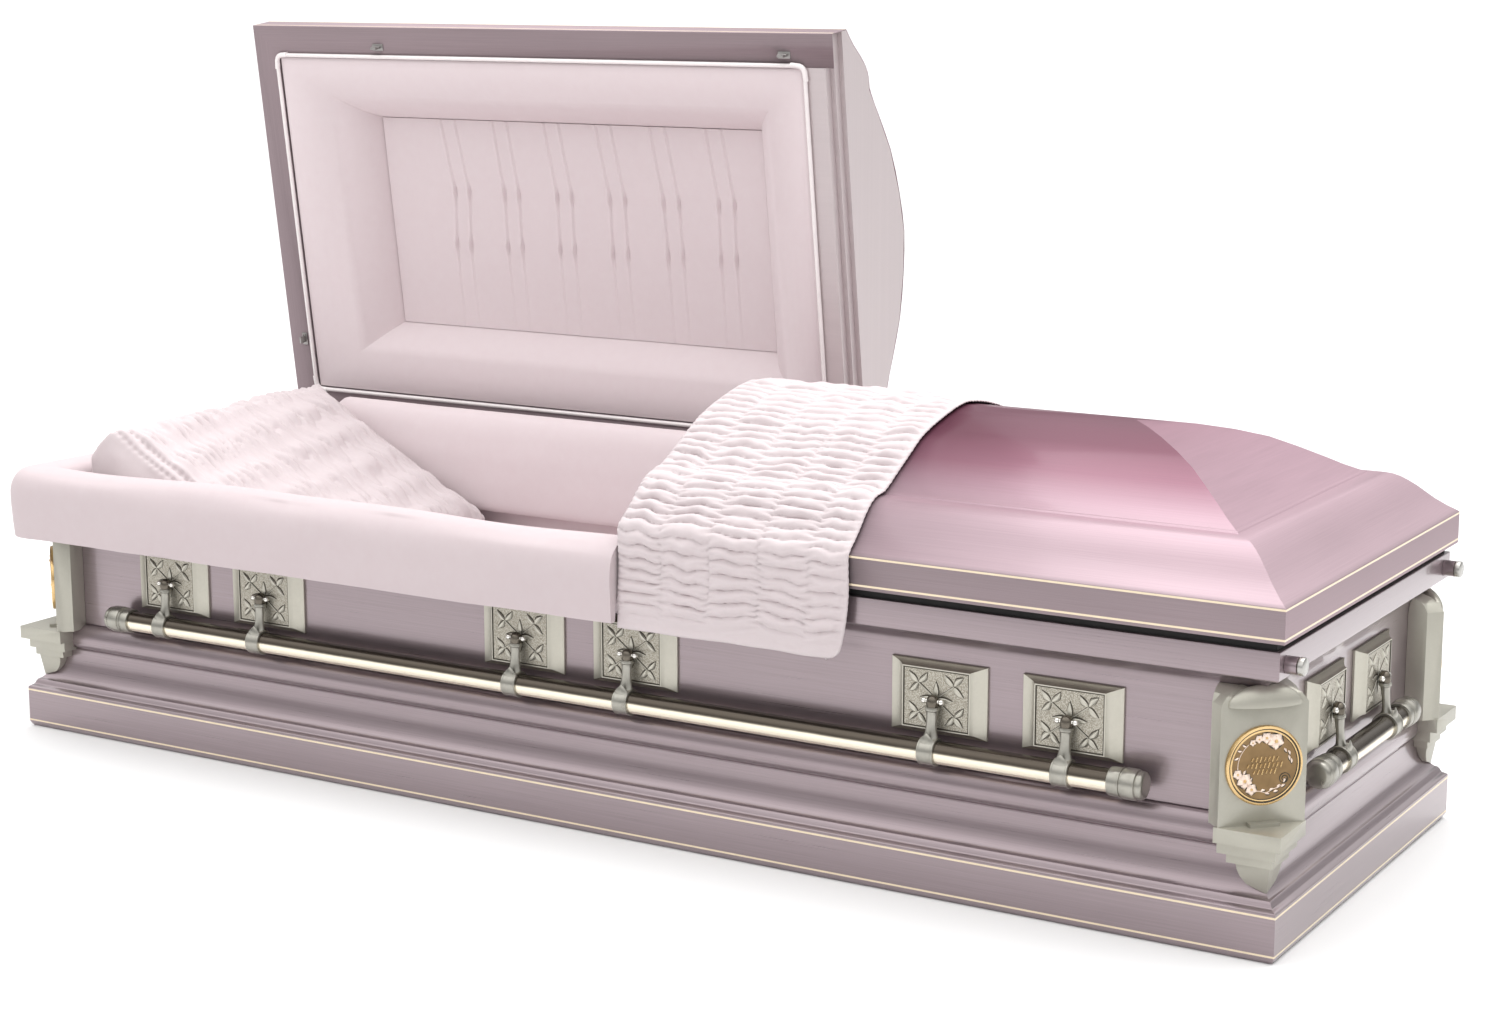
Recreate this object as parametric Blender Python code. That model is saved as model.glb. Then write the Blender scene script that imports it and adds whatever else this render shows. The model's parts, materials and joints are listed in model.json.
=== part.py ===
"""Half-couch funeral casket of folded sheet steel with swing-bar handles.

Metres, +Z up. The origin is the centre of the underside, the head end is at -X,
the foot end at +X and the front at -Y. Outlines are (inset, height) points, where
inset is the distance inward from the base moulding's edge or from the lid's edge.
The head lid stands open and the foot lid is closed.
"""

import math

import bmesh
import bpy
from mathutils import Matrix, Vector

# Clearances and sheet
GAP = 0.0003
SHEET = 0.0012
LID_SPLIT_GAP = 0.002

# Base moulding
BASE_LENGTH = 2.1356
BASE_WIDTH = 0.704
BAND_HEIGHT = 0.0655
BASE_FLANGE = 0.020
STEP_HEIGHT = 0.0121
STEP_DEPTH = 0.0095
COVE_HEIGHT = 0.0505
COVE_DEPTH = 0.022
GROOVE_HEIGHT = 0.022
BEAD_INSET = 0.0225
BEAD_HEIGHT = 0.0234
PAN_EDGE = 0.030

# Body panels
PANEL_INSET = 0.040
LEDGE = 0.012
FLAT_HEIGHT = 0.1476
UPPER_COVE_HEIGHT = 0.0367
RIM_BAND = 0.039
RIM_INSET = 0.010
RIM_WIDTH = 0.040
GASKET_THICKNESS = 0.0112
GASKET_INSET = 0.016
GASKET_WIDTH = 0.030

# Lids
LID_INSET = 0.0016
LID_BAND = 0.0458
LID_FLANGE = 0.053
SHOULDER_HEIGHT = 0.0637
SHOULDER_WIDTH = 0.085
CROWN_HEIGHT = 0.0890
SPLIT_X = 0.0926
HEADER_STEP = 0.0078
HEADER_STEP_HEIGHT = 0.0155
HEADER_STRIP = 0.040
OPEN_ANGLE = 82.4
HINGE_OUT = 0.0025
HINGE_RISE = 0.0095
KNUCKLE_RADIUS = 0.0035
HINGE_LENGTH = 0.300
HINGE_WEB = 0.0015
HINGE_FOOT = 0.013
LEAF_HEIGHT = 0.0255
LEAF_THICKNESS = 0.0015
TUBE_RADIUS = 0.0035

# Lug plates and handles
LUG_WIDTH = 0.142
LUG_HEIGHT = 0.100
LUG_RISE = 0.0938
LUG_DEPTH = 0.0135
LUG_FIELD_WIDTH = 0.1005
LUG_FIELD_HEIGHT = 0.084
LUG_LIP = 0.0035
LUG_FRAME = 0.003
LUG_FRAME_DEPTH = 0.0015
LUG_PAIR = 0.193
END_LUG_PAIR = 0.186
LUG_GROUPS = 3
AXIS_INSET = 0.0175
BAR_INSET = 0.011
BAR_DROP = 0.0667
BAR_RADIUS = 0.0155
COLLAR_RADIUS = 0.0185
COLLAR_WIDTH = 0.024
CAP_RADIUS = 0.0205
CAP_LENGTH = 0.049
BAR_END_INSET = 0.1803
BAR_OVERHANG = 0.115
END_BAR_HALF = 0.188
BAR_SIDES = 8
ARM_WIDTH = 0.019
HEAD_RADIUS = 0.0085
PIN_RADIUS = 0.0032
PIN_LENGTH = 0.029

# Corner ornaments and medallions
ORNAMENT_FACE = 0.0505
ORNAMENT_HALF_WIDTH = 0.0585
ORNAMENT_BACK = 0.074
ORNAMENT_WALL = 0.0965
ORNAMENT_LEG = 0.0055
ORNAMENT_PLATE_HEIGHT = 0.156
ORNAMENT_DOME = 0.0215
ORNAMENT_LAP = 0.001
ORNAMENT_SEAT = 0.006
PLATE_DROP = 0.0059
SHELF_HEIGHT = 0.020
SHELF_REACH = 0.006
TIER_HEIGHT = 0.0155
TIER_INSET = 0.0043
TIER_REACH = 0.0045
LOWER_TIER_HEIGHT = 0.0125
LOWER_TIER_INSET = 0.0108
LOWER_TIER_REACH = -0.006
FOOT_HEIGHT = 0.0365
FOOT_INSET = 0.0146
FOOT_SLOPE = 0.0054
FOOT_TIP = 0.021
FOOT_SPREAD = 0.039
FOOT_DEPTH = 0.035
MEDALLION_RADIUS = 0.0515
MEDALLION_DEPTH = 0.006
MEDALLION_SIDES = 20
MEDALLION_HEIGHT = 0.245

# Locks and catches
LOCK_RADIUS = 0.0115
LOCK_LENGTH = 0.025
LOCK_SIDE_INSET = 0.034
CATCH_INSET = 0.0355
CATCH_HEAD_DISTANCE = 0.2748
CATCH_SPLIT_DISTANCE = 0.0861
CATCH_BACK_DISTANCE = 0.142
CATCH_PLATE = 0.002
CATCH_DEPTH = 0.015
CATCH_WIDTH = 0.022
SLOT_CLEARANCE = 0.003

# Soft parts
MATTRESS_TOP = 0.215
MATTRESS_SIDE_INSET = 0.070
MATTRESS_END_INSET = 0.080
LINING_INSET = 0.0525
LINING_THICKNESS = 0.009
LINING_CLEARANCE = 0.002
LINING_RIM_DROP = 0.003
ROLL_TOP = 0.475
ROLL_WIDTH = 0.058
ROLL_RISE = 0.085
ROLL_HEAD_INSET = 0.1378
ROLL_SPLIT_DISTANCE = 0.0076
LID_LINING_DEPTH = 0.070
LID_ROLL_SIDE = 0.1674
LID_ROLL_HEAD = 0.2122
LID_ROLL_SPLIT = 0.1771
LID_PANEL_THICKNESS = 0.014
FOOT_LINING_INSET = 0.060
PILLOW_THICKNESS = 0.125
PILLOW_LIFT = 0.0015
PILLOW_FRONT_INSET = 0.082
PILLOW_BACK_INSET = 0.116
PILLOW_HEAD_INSET = 0.1158
PILLOW_HEAD_SKEW = 0.022
PILLOW_FOOT_INSET = 0.5178
PILLOW_FOOT_SKEW = 0.010
PILLOW_HEAD_RISE = 0.275
PILLOW_HEAD_TILT = 0.014
PILLOW_FOOT_RISE = 0.061
PILLOW_FOOT_TILT = 0.024
PILLOW_TOE = 0.070
APRON_DROP = 0.079
APRON_THICKNESS = 0.014
APRON_PUFF = 0.021
APRON_FOLD = 0.042
APRON_CLEARANCE = 0.0015
THROW_WIDTH = 0.362
THROW_THICKNESS = 0.013
THROW_DROP = 0.0965
THROW_CLEARANCE = 0.0008

# Levels and half sizes that follow from them
HALF_LENGTH = BASE_LENGTH / 2
HALF_WIDTH = BASE_WIDTH / 2
COVE_BOTTOM = BAND_HEIGHT + STEP_HEIGHT
COVE_TOP = COVE_BOTTOM + COVE_HEIGHT
BEAD_BOTTOM = COVE_TOP + GROOVE_HEIGHT
MOULDING_TOP = BEAD_BOTTOM + BEAD_HEIGHT
PANEL_BOTTOM = MOULDING_TOP + GAP
FLAT_TOP = PANEL_BOTTOM + FLAT_HEIGHT
COVE_RIM = FLAT_TOP + UPPER_COVE_HEIGHT
BODY_TOP = COVE_RIM + RIM_BAND
GASKET_TOP = BODY_TOP + GAP + GASKET_THICKNESS
LID_BOTTOM = GASKET_TOP + GAP
LID_HALF_LENGTH = HALF_LENGTH - LID_INSET
LID_HALF_WIDTH = HALF_WIDTH - LID_INSET
LUG_CENTRE = PANEL_BOTTOM + LUG_RISE
HINGE_Y = HALF_WIDTH + HINGE_OUT
HINGE_Z = LID_BOTTOM + HINGE_RISE
HEAD_LID_END = SPLIT_X - LID_SPLIT_GAP / 2
FOOT_LID_END = SPLIT_X + LID_SPLIT_GAP / 2
RING_INNER = LINING_INSET + LINING_THICKNESS
LID_OPENING_HALF_WIDTH = LID_HALF_WIDTH - LID_ROLL_SIDE
LID_OPENING_HEAD = LID_ROLL_HEAD - LID_HALF_LENGTH
LID_OPENING_SPLIT = HEAD_LID_END - LID_ROLL_SPLIT
SIDE_BAR_HALF = HALF_LENGTH - BAR_END_INSET
LUG_GROUP_SPACING = (SIDE_BAR_HALF - BAR_OVERHANG - LUG_PAIR / 2) * 2 / (LUG_GROUPS - 1)

# How far to turn a piece made on the front side to bring it to each side
SIDE_TURNS = {"front": 0, "foot": 90, "back": 180, "head": -90}


def make_material(name, color, metallic, roughness):
    material = bpy.data.materials.new(name)
    material.use_nodes = True
    shader = material.node_tree.nodes["Principled BSDF"]
    shader.inputs["Base Color"].default_value = (*color, 1.0)
    shader.inputs["Metallic"].default_value = metallic
    shader.inputs["Roughness"].default_value = roughness
    return material


def make_object(name, bm, material):
    """Turn a bmesh into a closed, outward-facing object."""
    bmesh.ops.remove_doubles(bm, verts=bm.verts, dist=0.00001)
    bmesh.ops.recalc_face_normals(bm, faces=bm.faces)
    mesh = bpy.data.meshes.new(name)
    bm.to_mesh(mesh)
    bm.free()
    obj = bpy.data.objects.new(name, mesh)
    mesh.materials.append(material)
    bpy.context.collection.objects.link(obj)
    return obj


def share_mesh(name, original, matrix):
    """Another object with the same mesh at another place."""
    obj = bpy.data.objects.new(name, original.data)
    obj.matrix_world = matrix
    bpy.context.collection.objects.link(obj)
    return obj


def combine(obj, tool, operation):
    """Unite, cut or intersect a solid with a tool, which is then removed."""
    material = obj.data.materials[0]
    modifier = obj.modifiers.new(operation.title(), "BOOLEAN")
    modifier.operation = operation
    modifier.object = tool
    bpy.context.view_layer.update()
    graph = bpy.context.evaluated_depsgraph_get()
    mesh = bpy.data.meshes.new_from_object(obj.evaluated_get(graph))
    obj.modifiers.clear()
    obj.data = mesh
    mesh.materials.clear()
    mesh.materials.append(material)
    bpy.data.objects.remove(tool)
    return obj


def round_shading(obj, angle=35):
    obj.data.shade_smooth()
    obj.data.set_sharp_from_angle(angle=math.radians(angle))


def arc(centre, radii, start, end, steps):
    """Points on an ellipse, 0 degrees at its bottom and 90 at its inner side."""
    points = []
    for step in range(steps + 1):
        angle = math.radians(start + (end - start) * step / steps)
        points.append((centre[0] + radii[0] * math.sin(angle), centre[1] - radii[1] * math.cos(angle)))
    return points


def offset_line(points, distance):
    """The open line moved sideways, to the right of its direction of travel."""
    normals = []
    for (a, b), (c, d) in zip(points, points[1:]):
        length = math.hypot(c - a, d - b)
        normals.append(((d - b) / length, (a - c) / length))
    moved = []
    for index, point in enumerate(points):
        before = normals[max(index - 1, 0)]
        after = normals[min(index, len(normals) - 1)]
        scale = distance / (1 + before[0] * after[0] + before[1] * after[1])
        moved.append((point[0] + (before[0] + after[0]) * scale, point[1] + (before[1] + after[1]) * scale))
    return moved


def folded_sheet(outline, thickness=SHEET):
    """Closed section of a sheet whose outer face is the outline."""
    return outline + offset_line(outline, thickness)[::-1]


def sweep(section, stations, ring=False, open_edge=None):
    """Sweep a closed (inset, height) section along mitred stations.

    A station is a point and how far x and y go per metre of inset.
    """
    bm = bmesh.new()
    rows = []
    for (x, y), (dx, dy) in stations:
        rows.append([bm.verts.new((x + dx * inset, y + dy * inset, z)) for inset, z in section])
    count = len(section)
    pairs = list(zip(rows, rows[1:]))
    if ring:
        pairs.append((rows[-1], rows[0]))
    for row, following in pairs:
        for index in range(count):
            if index != open_edge:
                after = (index + 1) % count
                bm.faces.new((row[index], row[after], following[after], following[index]))
    if not ring:
        bm.faces.new(rows[0])
        bm.faces.new(rows[-1])
    return bm


def prism(points, low, high, place):
    """Extrude a polygon between two levels; place turns (a, b, level) into x, y, z."""
    bm = bmesh.new()
    ends = [[bm.verts.new(place(a, b, level)) for a, b in points] for level in (low, high)]
    bm.faces.new(ends[0])
    bm.faces.new(ends[1])
    for index in range(len(points)):
        after = (index + 1) % len(points)
        bm.faces.new((ends[0][index], ends[0][after], ends[1][after], ends[1][index]))
    return bm


def loft(rings, closed=False):
    """Join rings of equal point counts, with end faces or as a closed tube."""
    bm = bmesh.new()
    rows = [[bm.verts.new(point) for point in ring] for ring in rings]
    pairs = list(zip(rows, rows[1:]))
    if closed:
        pairs.append((rows[-1], rows[0]))
    for row, following in pairs:
        for index in range(len(row)):
            after = (index + 1) % len(row)
            bm.faces.new((row[index], row[after], following[after], following[index]))
    if not closed:
        bm.faces.new(rows[0])
        bm.faces.new(rows[-1])
    return bm


def rectangle(x_low, x_high, y_low, y_high, z):
    return [(x_low, y_low, z), (x_high, y_low, z), (x_high, y_high, z), (x_low, y_high, z)]


def block(low, high):
    return loft([rectangle(low[0], high[0], low[1], high[1], z) for z in (low[2], high[2])])


def turned(profile, sides):
    """Solid of revolution about Z from (radius, height) points that start and end on the axis."""
    bm = bmesh.new()
    verts = [bm.verts.new((radius, 0, z)) for radius, z in profile]
    edges = [bm.edges.new(pair) for pair in zip(verts, verts[1:])]
    bmesh.ops.spin(
        bm, geom=verts + edges, axis=(0, 0, 1), cent=(0, 0, 0), steps=sides, angle=math.tau, use_merge=True
    )
    return bm


def side_matrix(side):
    """Matrix from a side's own frame, x along it and y inward from the base edge."""
    turn = Matrix.Rotation(math.radians(SIDE_TURNS[side]), 4, "Z")
    depth = HALF_WIDTH if side in ("front", "back") else HALF_LENGTH
    return turn @ Matrix.Translation((0, -depth, 0))


def side_run(side):
    return HALF_LENGTH if side in ("front", "back") else HALF_WIDTH


def moulding_outline():
    """Outer face of the base moulding, from the turned-in foot flange to the panel's ledge."""
    step = STEP_DEPTH
    bead = (PANEL_INSET, BEAD_BOTTOM)
    return [
        (BASE_FLANGE, 0.0),
        (0.004, 0.0),
        (0.0, 0.007),
        (0.0, BAND_HEIGHT),
        (step * 0.8, BAND_HEIGHT + STEP_HEIGHT * 0.35),
        (step, COVE_BOTTOM - 0.003),
        *arc((step, COVE_TOP), (COVE_DEPTH, COVE_HEIGHT), 8, 90, 5),
        (step + COVE_DEPTH, COVE_TOP + 0.004),
        (step + COVE_DEPTH + 0.003, COVE_TOP + 0.006),
        (BEAD_INSET + 0.004, COVE_TOP + 0.0095),
        *arc(bead, (PANEL_INSET - BEAD_INSET, BEAD_HEIGHT), 270, 180, 4),
        (PANEL_INSET + LEDGE, MOULDING_TOP),
    ]


def panel_outline():
    """Outer face of a body panel, from its ledge on the moulding to its turned-in top rim."""
    return [
        (PANEL_INSET + LEDGE, PANEL_BOTTOM),
        (PANEL_INSET, PANEL_BOTTOM),
        *arc((RIM_INSET + 0.0035, FLAT_TOP), (PANEL_INSET - RIM_INSET - 0.0035, UPPER_COVE_HEIGHT), 90, 180, 4),
        (RIM_INSET, COVE_RIM + 0.0025),
        (RIM_INSET, BODY_TOP),
        (RIM_INSET + RIM_WIDTH, BODY_TOP),
    ]


def lid_outline():
    """Outer face of a lid from its turned-in rim flange up to the ridge."""
    band = LID_BOTTOM + LID_BAND
    shoulder = band + SHOULDER_HEIGHT
    points = [(LID_FLANGE, LID_BOTTOM), (0.0, LID_BOTTOM), (0.0, band)]
    for share, rise in ((0.164, 0.152), (0.331, 0.333), (0.56, 0.631), (0.79, 0.890)):
        points.append((SHOULDER_WIDTH * share, band + SHOULDER_HEIGHT * rise))
    points.append((SHOULDER_WIDTH, shoulder - 0.0005))
    points.append((SHOULDER_WIDTH + 0.020, shoulder))
    crown_start = SHOULDER_WIDTH + 0.020
    for share, rise in ((0.18, 0.28), (0.43, 0.65), (0.74, 0.90), (1.0, 1.0)):
        inset = crown_start + (LID_HALF_WIDTH - crown_start) * share
        points.append((inset, shoulder + CROWN_HEIGHT * rise))
    return points


def side_pieces(prefix, outline, material):
    """Four mitred lengths of one folded section, one on each side."""
    pieces = {}
    for side in SIDE_TURNS:
        run = side_run(side) - GAP
        stations = [((-run, 0), (1, 1)), ((run, 0), (-1, 1))]
        piece = make_object(f"{prefix}_{side}", sweep(folded_sheet(outline), stations), material)
        piece.matrix_world = side_matrix(side)
        pieces[side] = piece
    return pieces


def bottom_pan(material):
    """Shallow tray that closes the underside inside the moulding's flange."""
    edge = BASE_FLANGE + GAP
    rings = []
    for inset, z in ((edge, 0.0), (edge, PAN_EDGE), (edge + SHEET, PAN_EDGE), (edge + SHEET, SHEET)):
        x = HALF_LENGTH - inset
        y = HALF_WIDTH - inset
        rings.append(rectangle(-x, x, -y, y, z))
    return make_object("bottom_pan", loft(rings), material)


def body_gasket(material):
    """Dark sealing strip all round the body's rim."""
    outer = GASKET_INSET
    inner = GASKET_INSET + GASKET_WIDTH
    bottom = BODY_TOP + GAP
    rings = []
    for inset, z in ((outer, bottom), (outer, GASKET_TOP), (inner, GASKET_TOP), (inner, bottom)):
        x = HALF_LENGTH - inset
        y = HALF_WIDTH - inset
        rings.append(rectangle(-x, x, -y, y, z))
    return make_object("body_gasket", loft(rings, closed=True), material)


def catch_places():
    """Where the three lid catches stand, with the side whose rim they drop into."""
    front = CATCH_INSET - HALF_WIDTH
    head = CATCH_INSET - HALF_LENGTH
    return [
        ("lid_catch_head", Vector((CATCH_HEAD_DISTANCE - HALF_LENGTH, front, 0)), "front"),
        ("lid_catch_split", Vector((HEAD_LID_END - CATCH_SPLIT_DISTANCE, front, 0)), "front"),
        ("lid_catch_end", Vector((head, HALF_WIDTH - CATCH_BACK_DISTANCE, 0)), "head"),
    ]


def catch_size(side, extra=0.0):
    """Half sizes of a catch in plan, long way along its rim."""
    along = CATCH_WIDTH / 2 + extra
    across = CATCH_WIDTH / 4 + extra
    return (along, across) if side == "front" else (across, along)


def cut_catch_slots(gasket, panels, material):
    """Slots in the gasket and the panel rims that the catches drop into."""
    for _name, place, side in catch_places():
        half = catch_size(side, SLOT_CLEARANCE)
        low = (place.x - half[0], place.y - half[1], BODY_TOP - CATCH_DEPTH)
        high = (place.x + half[0], place.y + half[1], LID_BOTTOM + CATCH_DEPTH)
        for target in (gasket, panels[side]):
            combine(target, make_object("slot_cutter", block(low, high), material), "DIFFERENCE")


def lid_catch(name, place, side, material, pivot):
    """Base plate under the lid's flange with a hooked pawl."""
    half = catch_size(side)
    top = LID_BOTTOM - GAP
    plate = block((-half[0], -half[1], top - CATCH_PLATE), (half[0], half[1], top))
    catch = make_object(name, plate, material)
    pawl_half = (half[0] * 0.5, CATCH_PLATE) if side == "front" else (CATCH_PLATE, half[1] * 0.5)
    low = (-pawl_half[0], -pawl_half[1], top - CATCH_DEPTH)
    high = (pawl_half[0], pawl_half[1], top - CATCH_PLATE / 2)
    combine(catch, make_object("pawl", block(low, high), material), "UNION")
    ride_on(catch, pivot, Vector((place.x, place.y, 0)))
    return catch


def lid_pivot(name, angle):
    """Empty on the hinge axis that carries one lid."""
    pivot = bpy.data.objects.new(name, None)
    pivot.location = (0, HINGE_Y, HINGE_Z)
    pivot.rotation_euler = (math.radians(-angle), 0, 0)
    bpy.context.collection.objects.link(pivot)
    return pivot


def ride_on(obj, pivot, offset=Vector((0, 0, 0))):
    """Parent a piece made in closed coordinates to its lid's pivot."""
    obj.parent = pivot
    obj.location = offset - Vector((0, HINGE_Y, HINGE_Z))


def lid_shell(name, end, split, material, pivot):
    """Sheet shell with hips at its own end and open at the split."""
    outer = lid_outline()
    inner = offset_line(outer, SHEET)
    inner[-1] = (LID_HALF_WIDTH, inner[-1][1])
    section = outer + inner[::-1]
    width = LID_HALF_WIDTH
    toward = 1 if end < split else -1
    stations = [
        ((split, -width), (0, 1)),
        ((end, -width), (toward, 1)),
        ((end, width), (toward, -1)),
        ((split, width), (0, -1)),
    ]
    shell = make_object(name, sweep(section, stations, open_edge=len(outer) - 1), material)
    ride_on(shell, pivot)
    return shell


def lid_header(name, split, toward, material, pivot):
    """Folded plate that closes a lid at the split, with a stepped rebate along its bottom."""
    first = LID_BOTTOM + HEADER_STEP_HEIGHT
    second = first + HEADER_STEP_HEIGHT
    outline = [
        (2 * HEADER_STEP + HEADER_STRIP, LID_BOTTOM),
        (2 * HEADER_STEP, LID_BOTTOM),
        (2 * HEADER_STEP, first),
        (HEADER_STEP, first),
        (HEADER_STEP, second),
        (0.0, second),
        (0.0, LID_BOTTOM + LID_BAND + SHOULDER_HEIGHT + CROWN_HEIGHT),
    ]
    width = LID_HALF_WIDTH

    def along_y(inset, z, y):
        return (split + toward * inset, y, z)

    header = make_object(name, prism(folded_sheet(outline), -width, width, along_y), material)
    inner = offset_line(lid_outline(), SHEET + GAP)
    inner[-1] = (width, inner[-1][1])
    flange_edge = LID_FLANGE + GAP
    half = [(flange_edge, LID_BOTTOM - SHEET), (flange_edge, inner[0][1]), *inner[1:]]
    section = [(-(width - inset), z) for inset, z in half]
    section += [(width - inset, z) for inset, z in half[-2::-1]]

    def along_x(y, z, x):
        return (x, y, z)

    reach = sorted((split - toward * HEADER_STRIP, split + toward * HEADER_STRIP * 2))
    room = make_object("room", prism(section, reach[0], reach[1], along_x), material)
    combine(header, room, "INTERSECT")
    ride_on(header, pivot)
    return header


def lid_gasket(material, pivot):
    """Round tube frame under the head lid's rim."""
    centre_z = LID_BOTTOM - GAP - TUBE_RADIUS
    centre_inset = LID_FLANGE - TUBE_RADIUS
    rings = []
    for inset, z in arc((centre_inset, centre_z), (TUBE_RADIUS, TUBE_RADIUS), 0, 315, 7):
        x_low = -LID_HALF_LENGTH + inset
        x_high = HEAD_LID_END - inset
        y = LID_HALF_WIDTH - inset
        rings.append(rectangle(x_low, x_high, -y, y, z))
    tube = make_object("head_lid_gasket", loft(rings, closed=True), material)
    round_shading(tube, 60)
    ride_on(tube, pivot)
    return tube


def lid_lining_roll(material, pivot):
    """Padded roll inside the head lid, from the tube frame back to the quilted panel."""
    start = LID_FLANGE + GAP
    face = ((0.0, 0.04), (0.25, 0.12), (0.5, 0.25), (0.75, 0.50), (0.93, 0.80), (1.0, 1.0))
    back = ((1.0, 1.22), (0.35, 1.22), (0.0, 0.75))
    rings = []
    for share, depth in face + back:
        x_low = -LID_HALF_LENGTH + start
        x_high = HEAD_LID_END - start
        y = LID_HALF_WIDTH - start
        ring = rectangle(
            x_low + (LID_OPENING_HEAD - x_low) * share,
            x_high + (LID_OPENING_SPLIT - x_high) * share,
            -y + (y - LID_OPENING_HALF_WIDTH) * share,
            y - (y - LID_OPENING_HALF_WIDTH) * share,
            LID_BOTTOM + LID_LINING_DEPTH * depth,
        )
        rings.append(ring)
    roll = make_object("head_lid_lining_roll", loft(rings, closed=True), material)
    ride_on(roll, pivot)
    return roll


def lining_panel(name, x_low, x_high, half_width, depth, material, pivot):
    """Flat padded panel deep inside a lid."""
    top = LID_BOTTOM + depth
    low = (x_low, -half_width, top)
    high = (x_high, half_width, top + LID_PANEL_THICKNESS)
    panel = make_object(name, block(low, high), material)
    ride_on(panel, pivot)
    return panel


def body_hinge(name, centre, material):
    """Fixed half of a hinge on the back rim, with the knuckle on the axis."""
    rim = HALF_WIDTH - RIM_INSET + GAP
    top = HINGE_Z - KNUCKLE_RADIUS * 0.5
    foot = BODY_TOP - HINGE_FOOT
    shelf = BODY_TOP - SHEET
    outline = [
        (rim, foot),
        (HINGE_Y + HINGE_WEB, foot),
        (HINGE_Y + HINGE_WEB, top),
        (HINGE_Y - HINGE_WEB, top),
        (HINGE_Y - HINGE_WEB, shelf),
        (rim, shelf),
    ]
    half = HINGE_LENGTH / 2

    def along_x(y, z, x):
        return (x, y, z)

    hinge = make_object(name, prism(outline, -half, half, along_x), material)
    knuckle_section = arc((HINGE_Y, HINGE_Z), (KNUCKLE_RADIUS, KNUCKLE_RADIUS), 0, 330, 11)
    knuckle = make_object("knuckle", prism(knuckle_section, -half, half, along_x), material)
    combine(hinge, knuckle, "UNION")
    hinge.location.x = centre
    return hinge


def lid_leaf(name, centre, material, pivot):
    """Moving leaf of a hinge on the lid's back band."""
    bottom = HINGE_Z + KNUCKLE_RADIUS + GAP
    low = (-HINGE_LENGTH / 2, LID_HALF_WIDTH + GAP, bottom)
    high = (HINGE_LENGTH / 2, LID_HALF_WIDTH + GAP + LEAF_THICKNESS, bottom + LEAF_HEIGHT)
    leaf = make_object(name, block(low, high), material)
    ride_on(leaf, pivot, Vector((centre, 0, 0)))
    return leaf


def leaf_kites():
    """Plan outlines of the carved leaves: one spray in each corner and a star in the middle."""
    kites = []
    reach_x = LUG_FIELD_WIDTH * 0.27
    reach_z = LUG_FIELD_HEIGHT * 0.27
    for sign_x in (-1, 1):
        for sign_z in (-1, 1):
            heart = Vector((sign_x * reach_x, sign_z * reach_z))
            for turn in (-68, 68):
                along = Vector((sign_x, sign_z)).normalized()
                along.rotate(Matrix.Rotation(math.radians(turn), 2))
                kites.append((heart + along * 0.003, along, 0.018, 0.0075))
    for quarter in range(4):
        along = Vector((math.cos(quarter * math.pi / 2), math.sin(quarter * math.pi / 2)))
        kites.append((along * 0.010, along, 0.017, 0.007))
    return kites


def lug_plate_original(material):
    """Raised square plate with a framed, carved field; its back lies on y = 0 and it faces -Y."""
    field = LUG_DEPTH - LUG_FRAME_DEPTH / 2
    rings = []
    steps = (
        (LUG_WIDTH, LUG_HEIGHT, 0.0),
        (LUG_WIDTH, LUG_HEIGHT, LUG_LIP),
        (LUG_WIDTH * 0.84, LUG_HEIGHT * 0.90, LUG_LIP + LUG_DEPTH * 0.25),
        (LUG_FIELD_WIDTH, LUG_FIELD_HEIGHT, field + LUG_FRAME_DEPTH),
        (LUG_FIELD_WIDTH - LUG_FRAME * 2, LUG_FIELD_HEIGHT - LUG_FRAME * 2, field),
    )
    for width, height, depth in steps:
        x = width / 2
        z = height / 2
        rings.append([(-x, -depth, -z), (x, -depth, -z), (x, -depth, z), (-x, -depth, z)])
    plate = make_object("lug_plate", loft(rings), material)
    bm = bmesh.new()
    for root, along, length, width in leaf_kites():
        across = Vector((-along.y, along.x)) * width / 2
        widest = root + along * length * 0.55
        tip = root + along * length
        base = [root, widest + across, tip, widest - across]
        corners = [bm.verts.new((p.x, LUG_FRAME_DEPTH / 2 - field, p.y)) for p in base]
        peak = bm.verts.new((widest.x, -LUG_FRAME_DEPTH - field, widest.y))
        bm.faces.new(corners)
        for index in range(4):
            bm.faces.new((corners[index], corners[(index + 1) % 4], peak))
    combine(plate, make_object("leaves", bm, material), "UNION")
    return plate


def lug_positions(side):
    """Centres of the lug plates along one side."""
    if side in ("foot", "head"):
        return [-END_LUG_PAIR / 2, END_LUG_PAIR / 2]
    first = -LUG_GROUP_SPACING * (LUG_GROUPS - 1) / 2
    centres = [first + LUG_GROUP_SPACING * index for index in range(LUG_GROUPS)]
    return [centre + half for centre in centres for half in (-LUG_PAIR / 2, LUG_PAIR / 2)]


def lug_plates(material):
    """Sixteen cast plates that carry the handle arms."""
    original = lug_plate_original(material)
    for side in SIDE_TURNS:
        for number, x in enumerate(lug_positions(side), 1):
            spot = Matrix.Translation((x, PANEL_INSET - GAP, LUG_CENTRE))
            share_mesh(f"lug_plate_{side}_{number}", original, side_matrix(side) @ spot)
    bpy.data.objects.remove(original)


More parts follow.
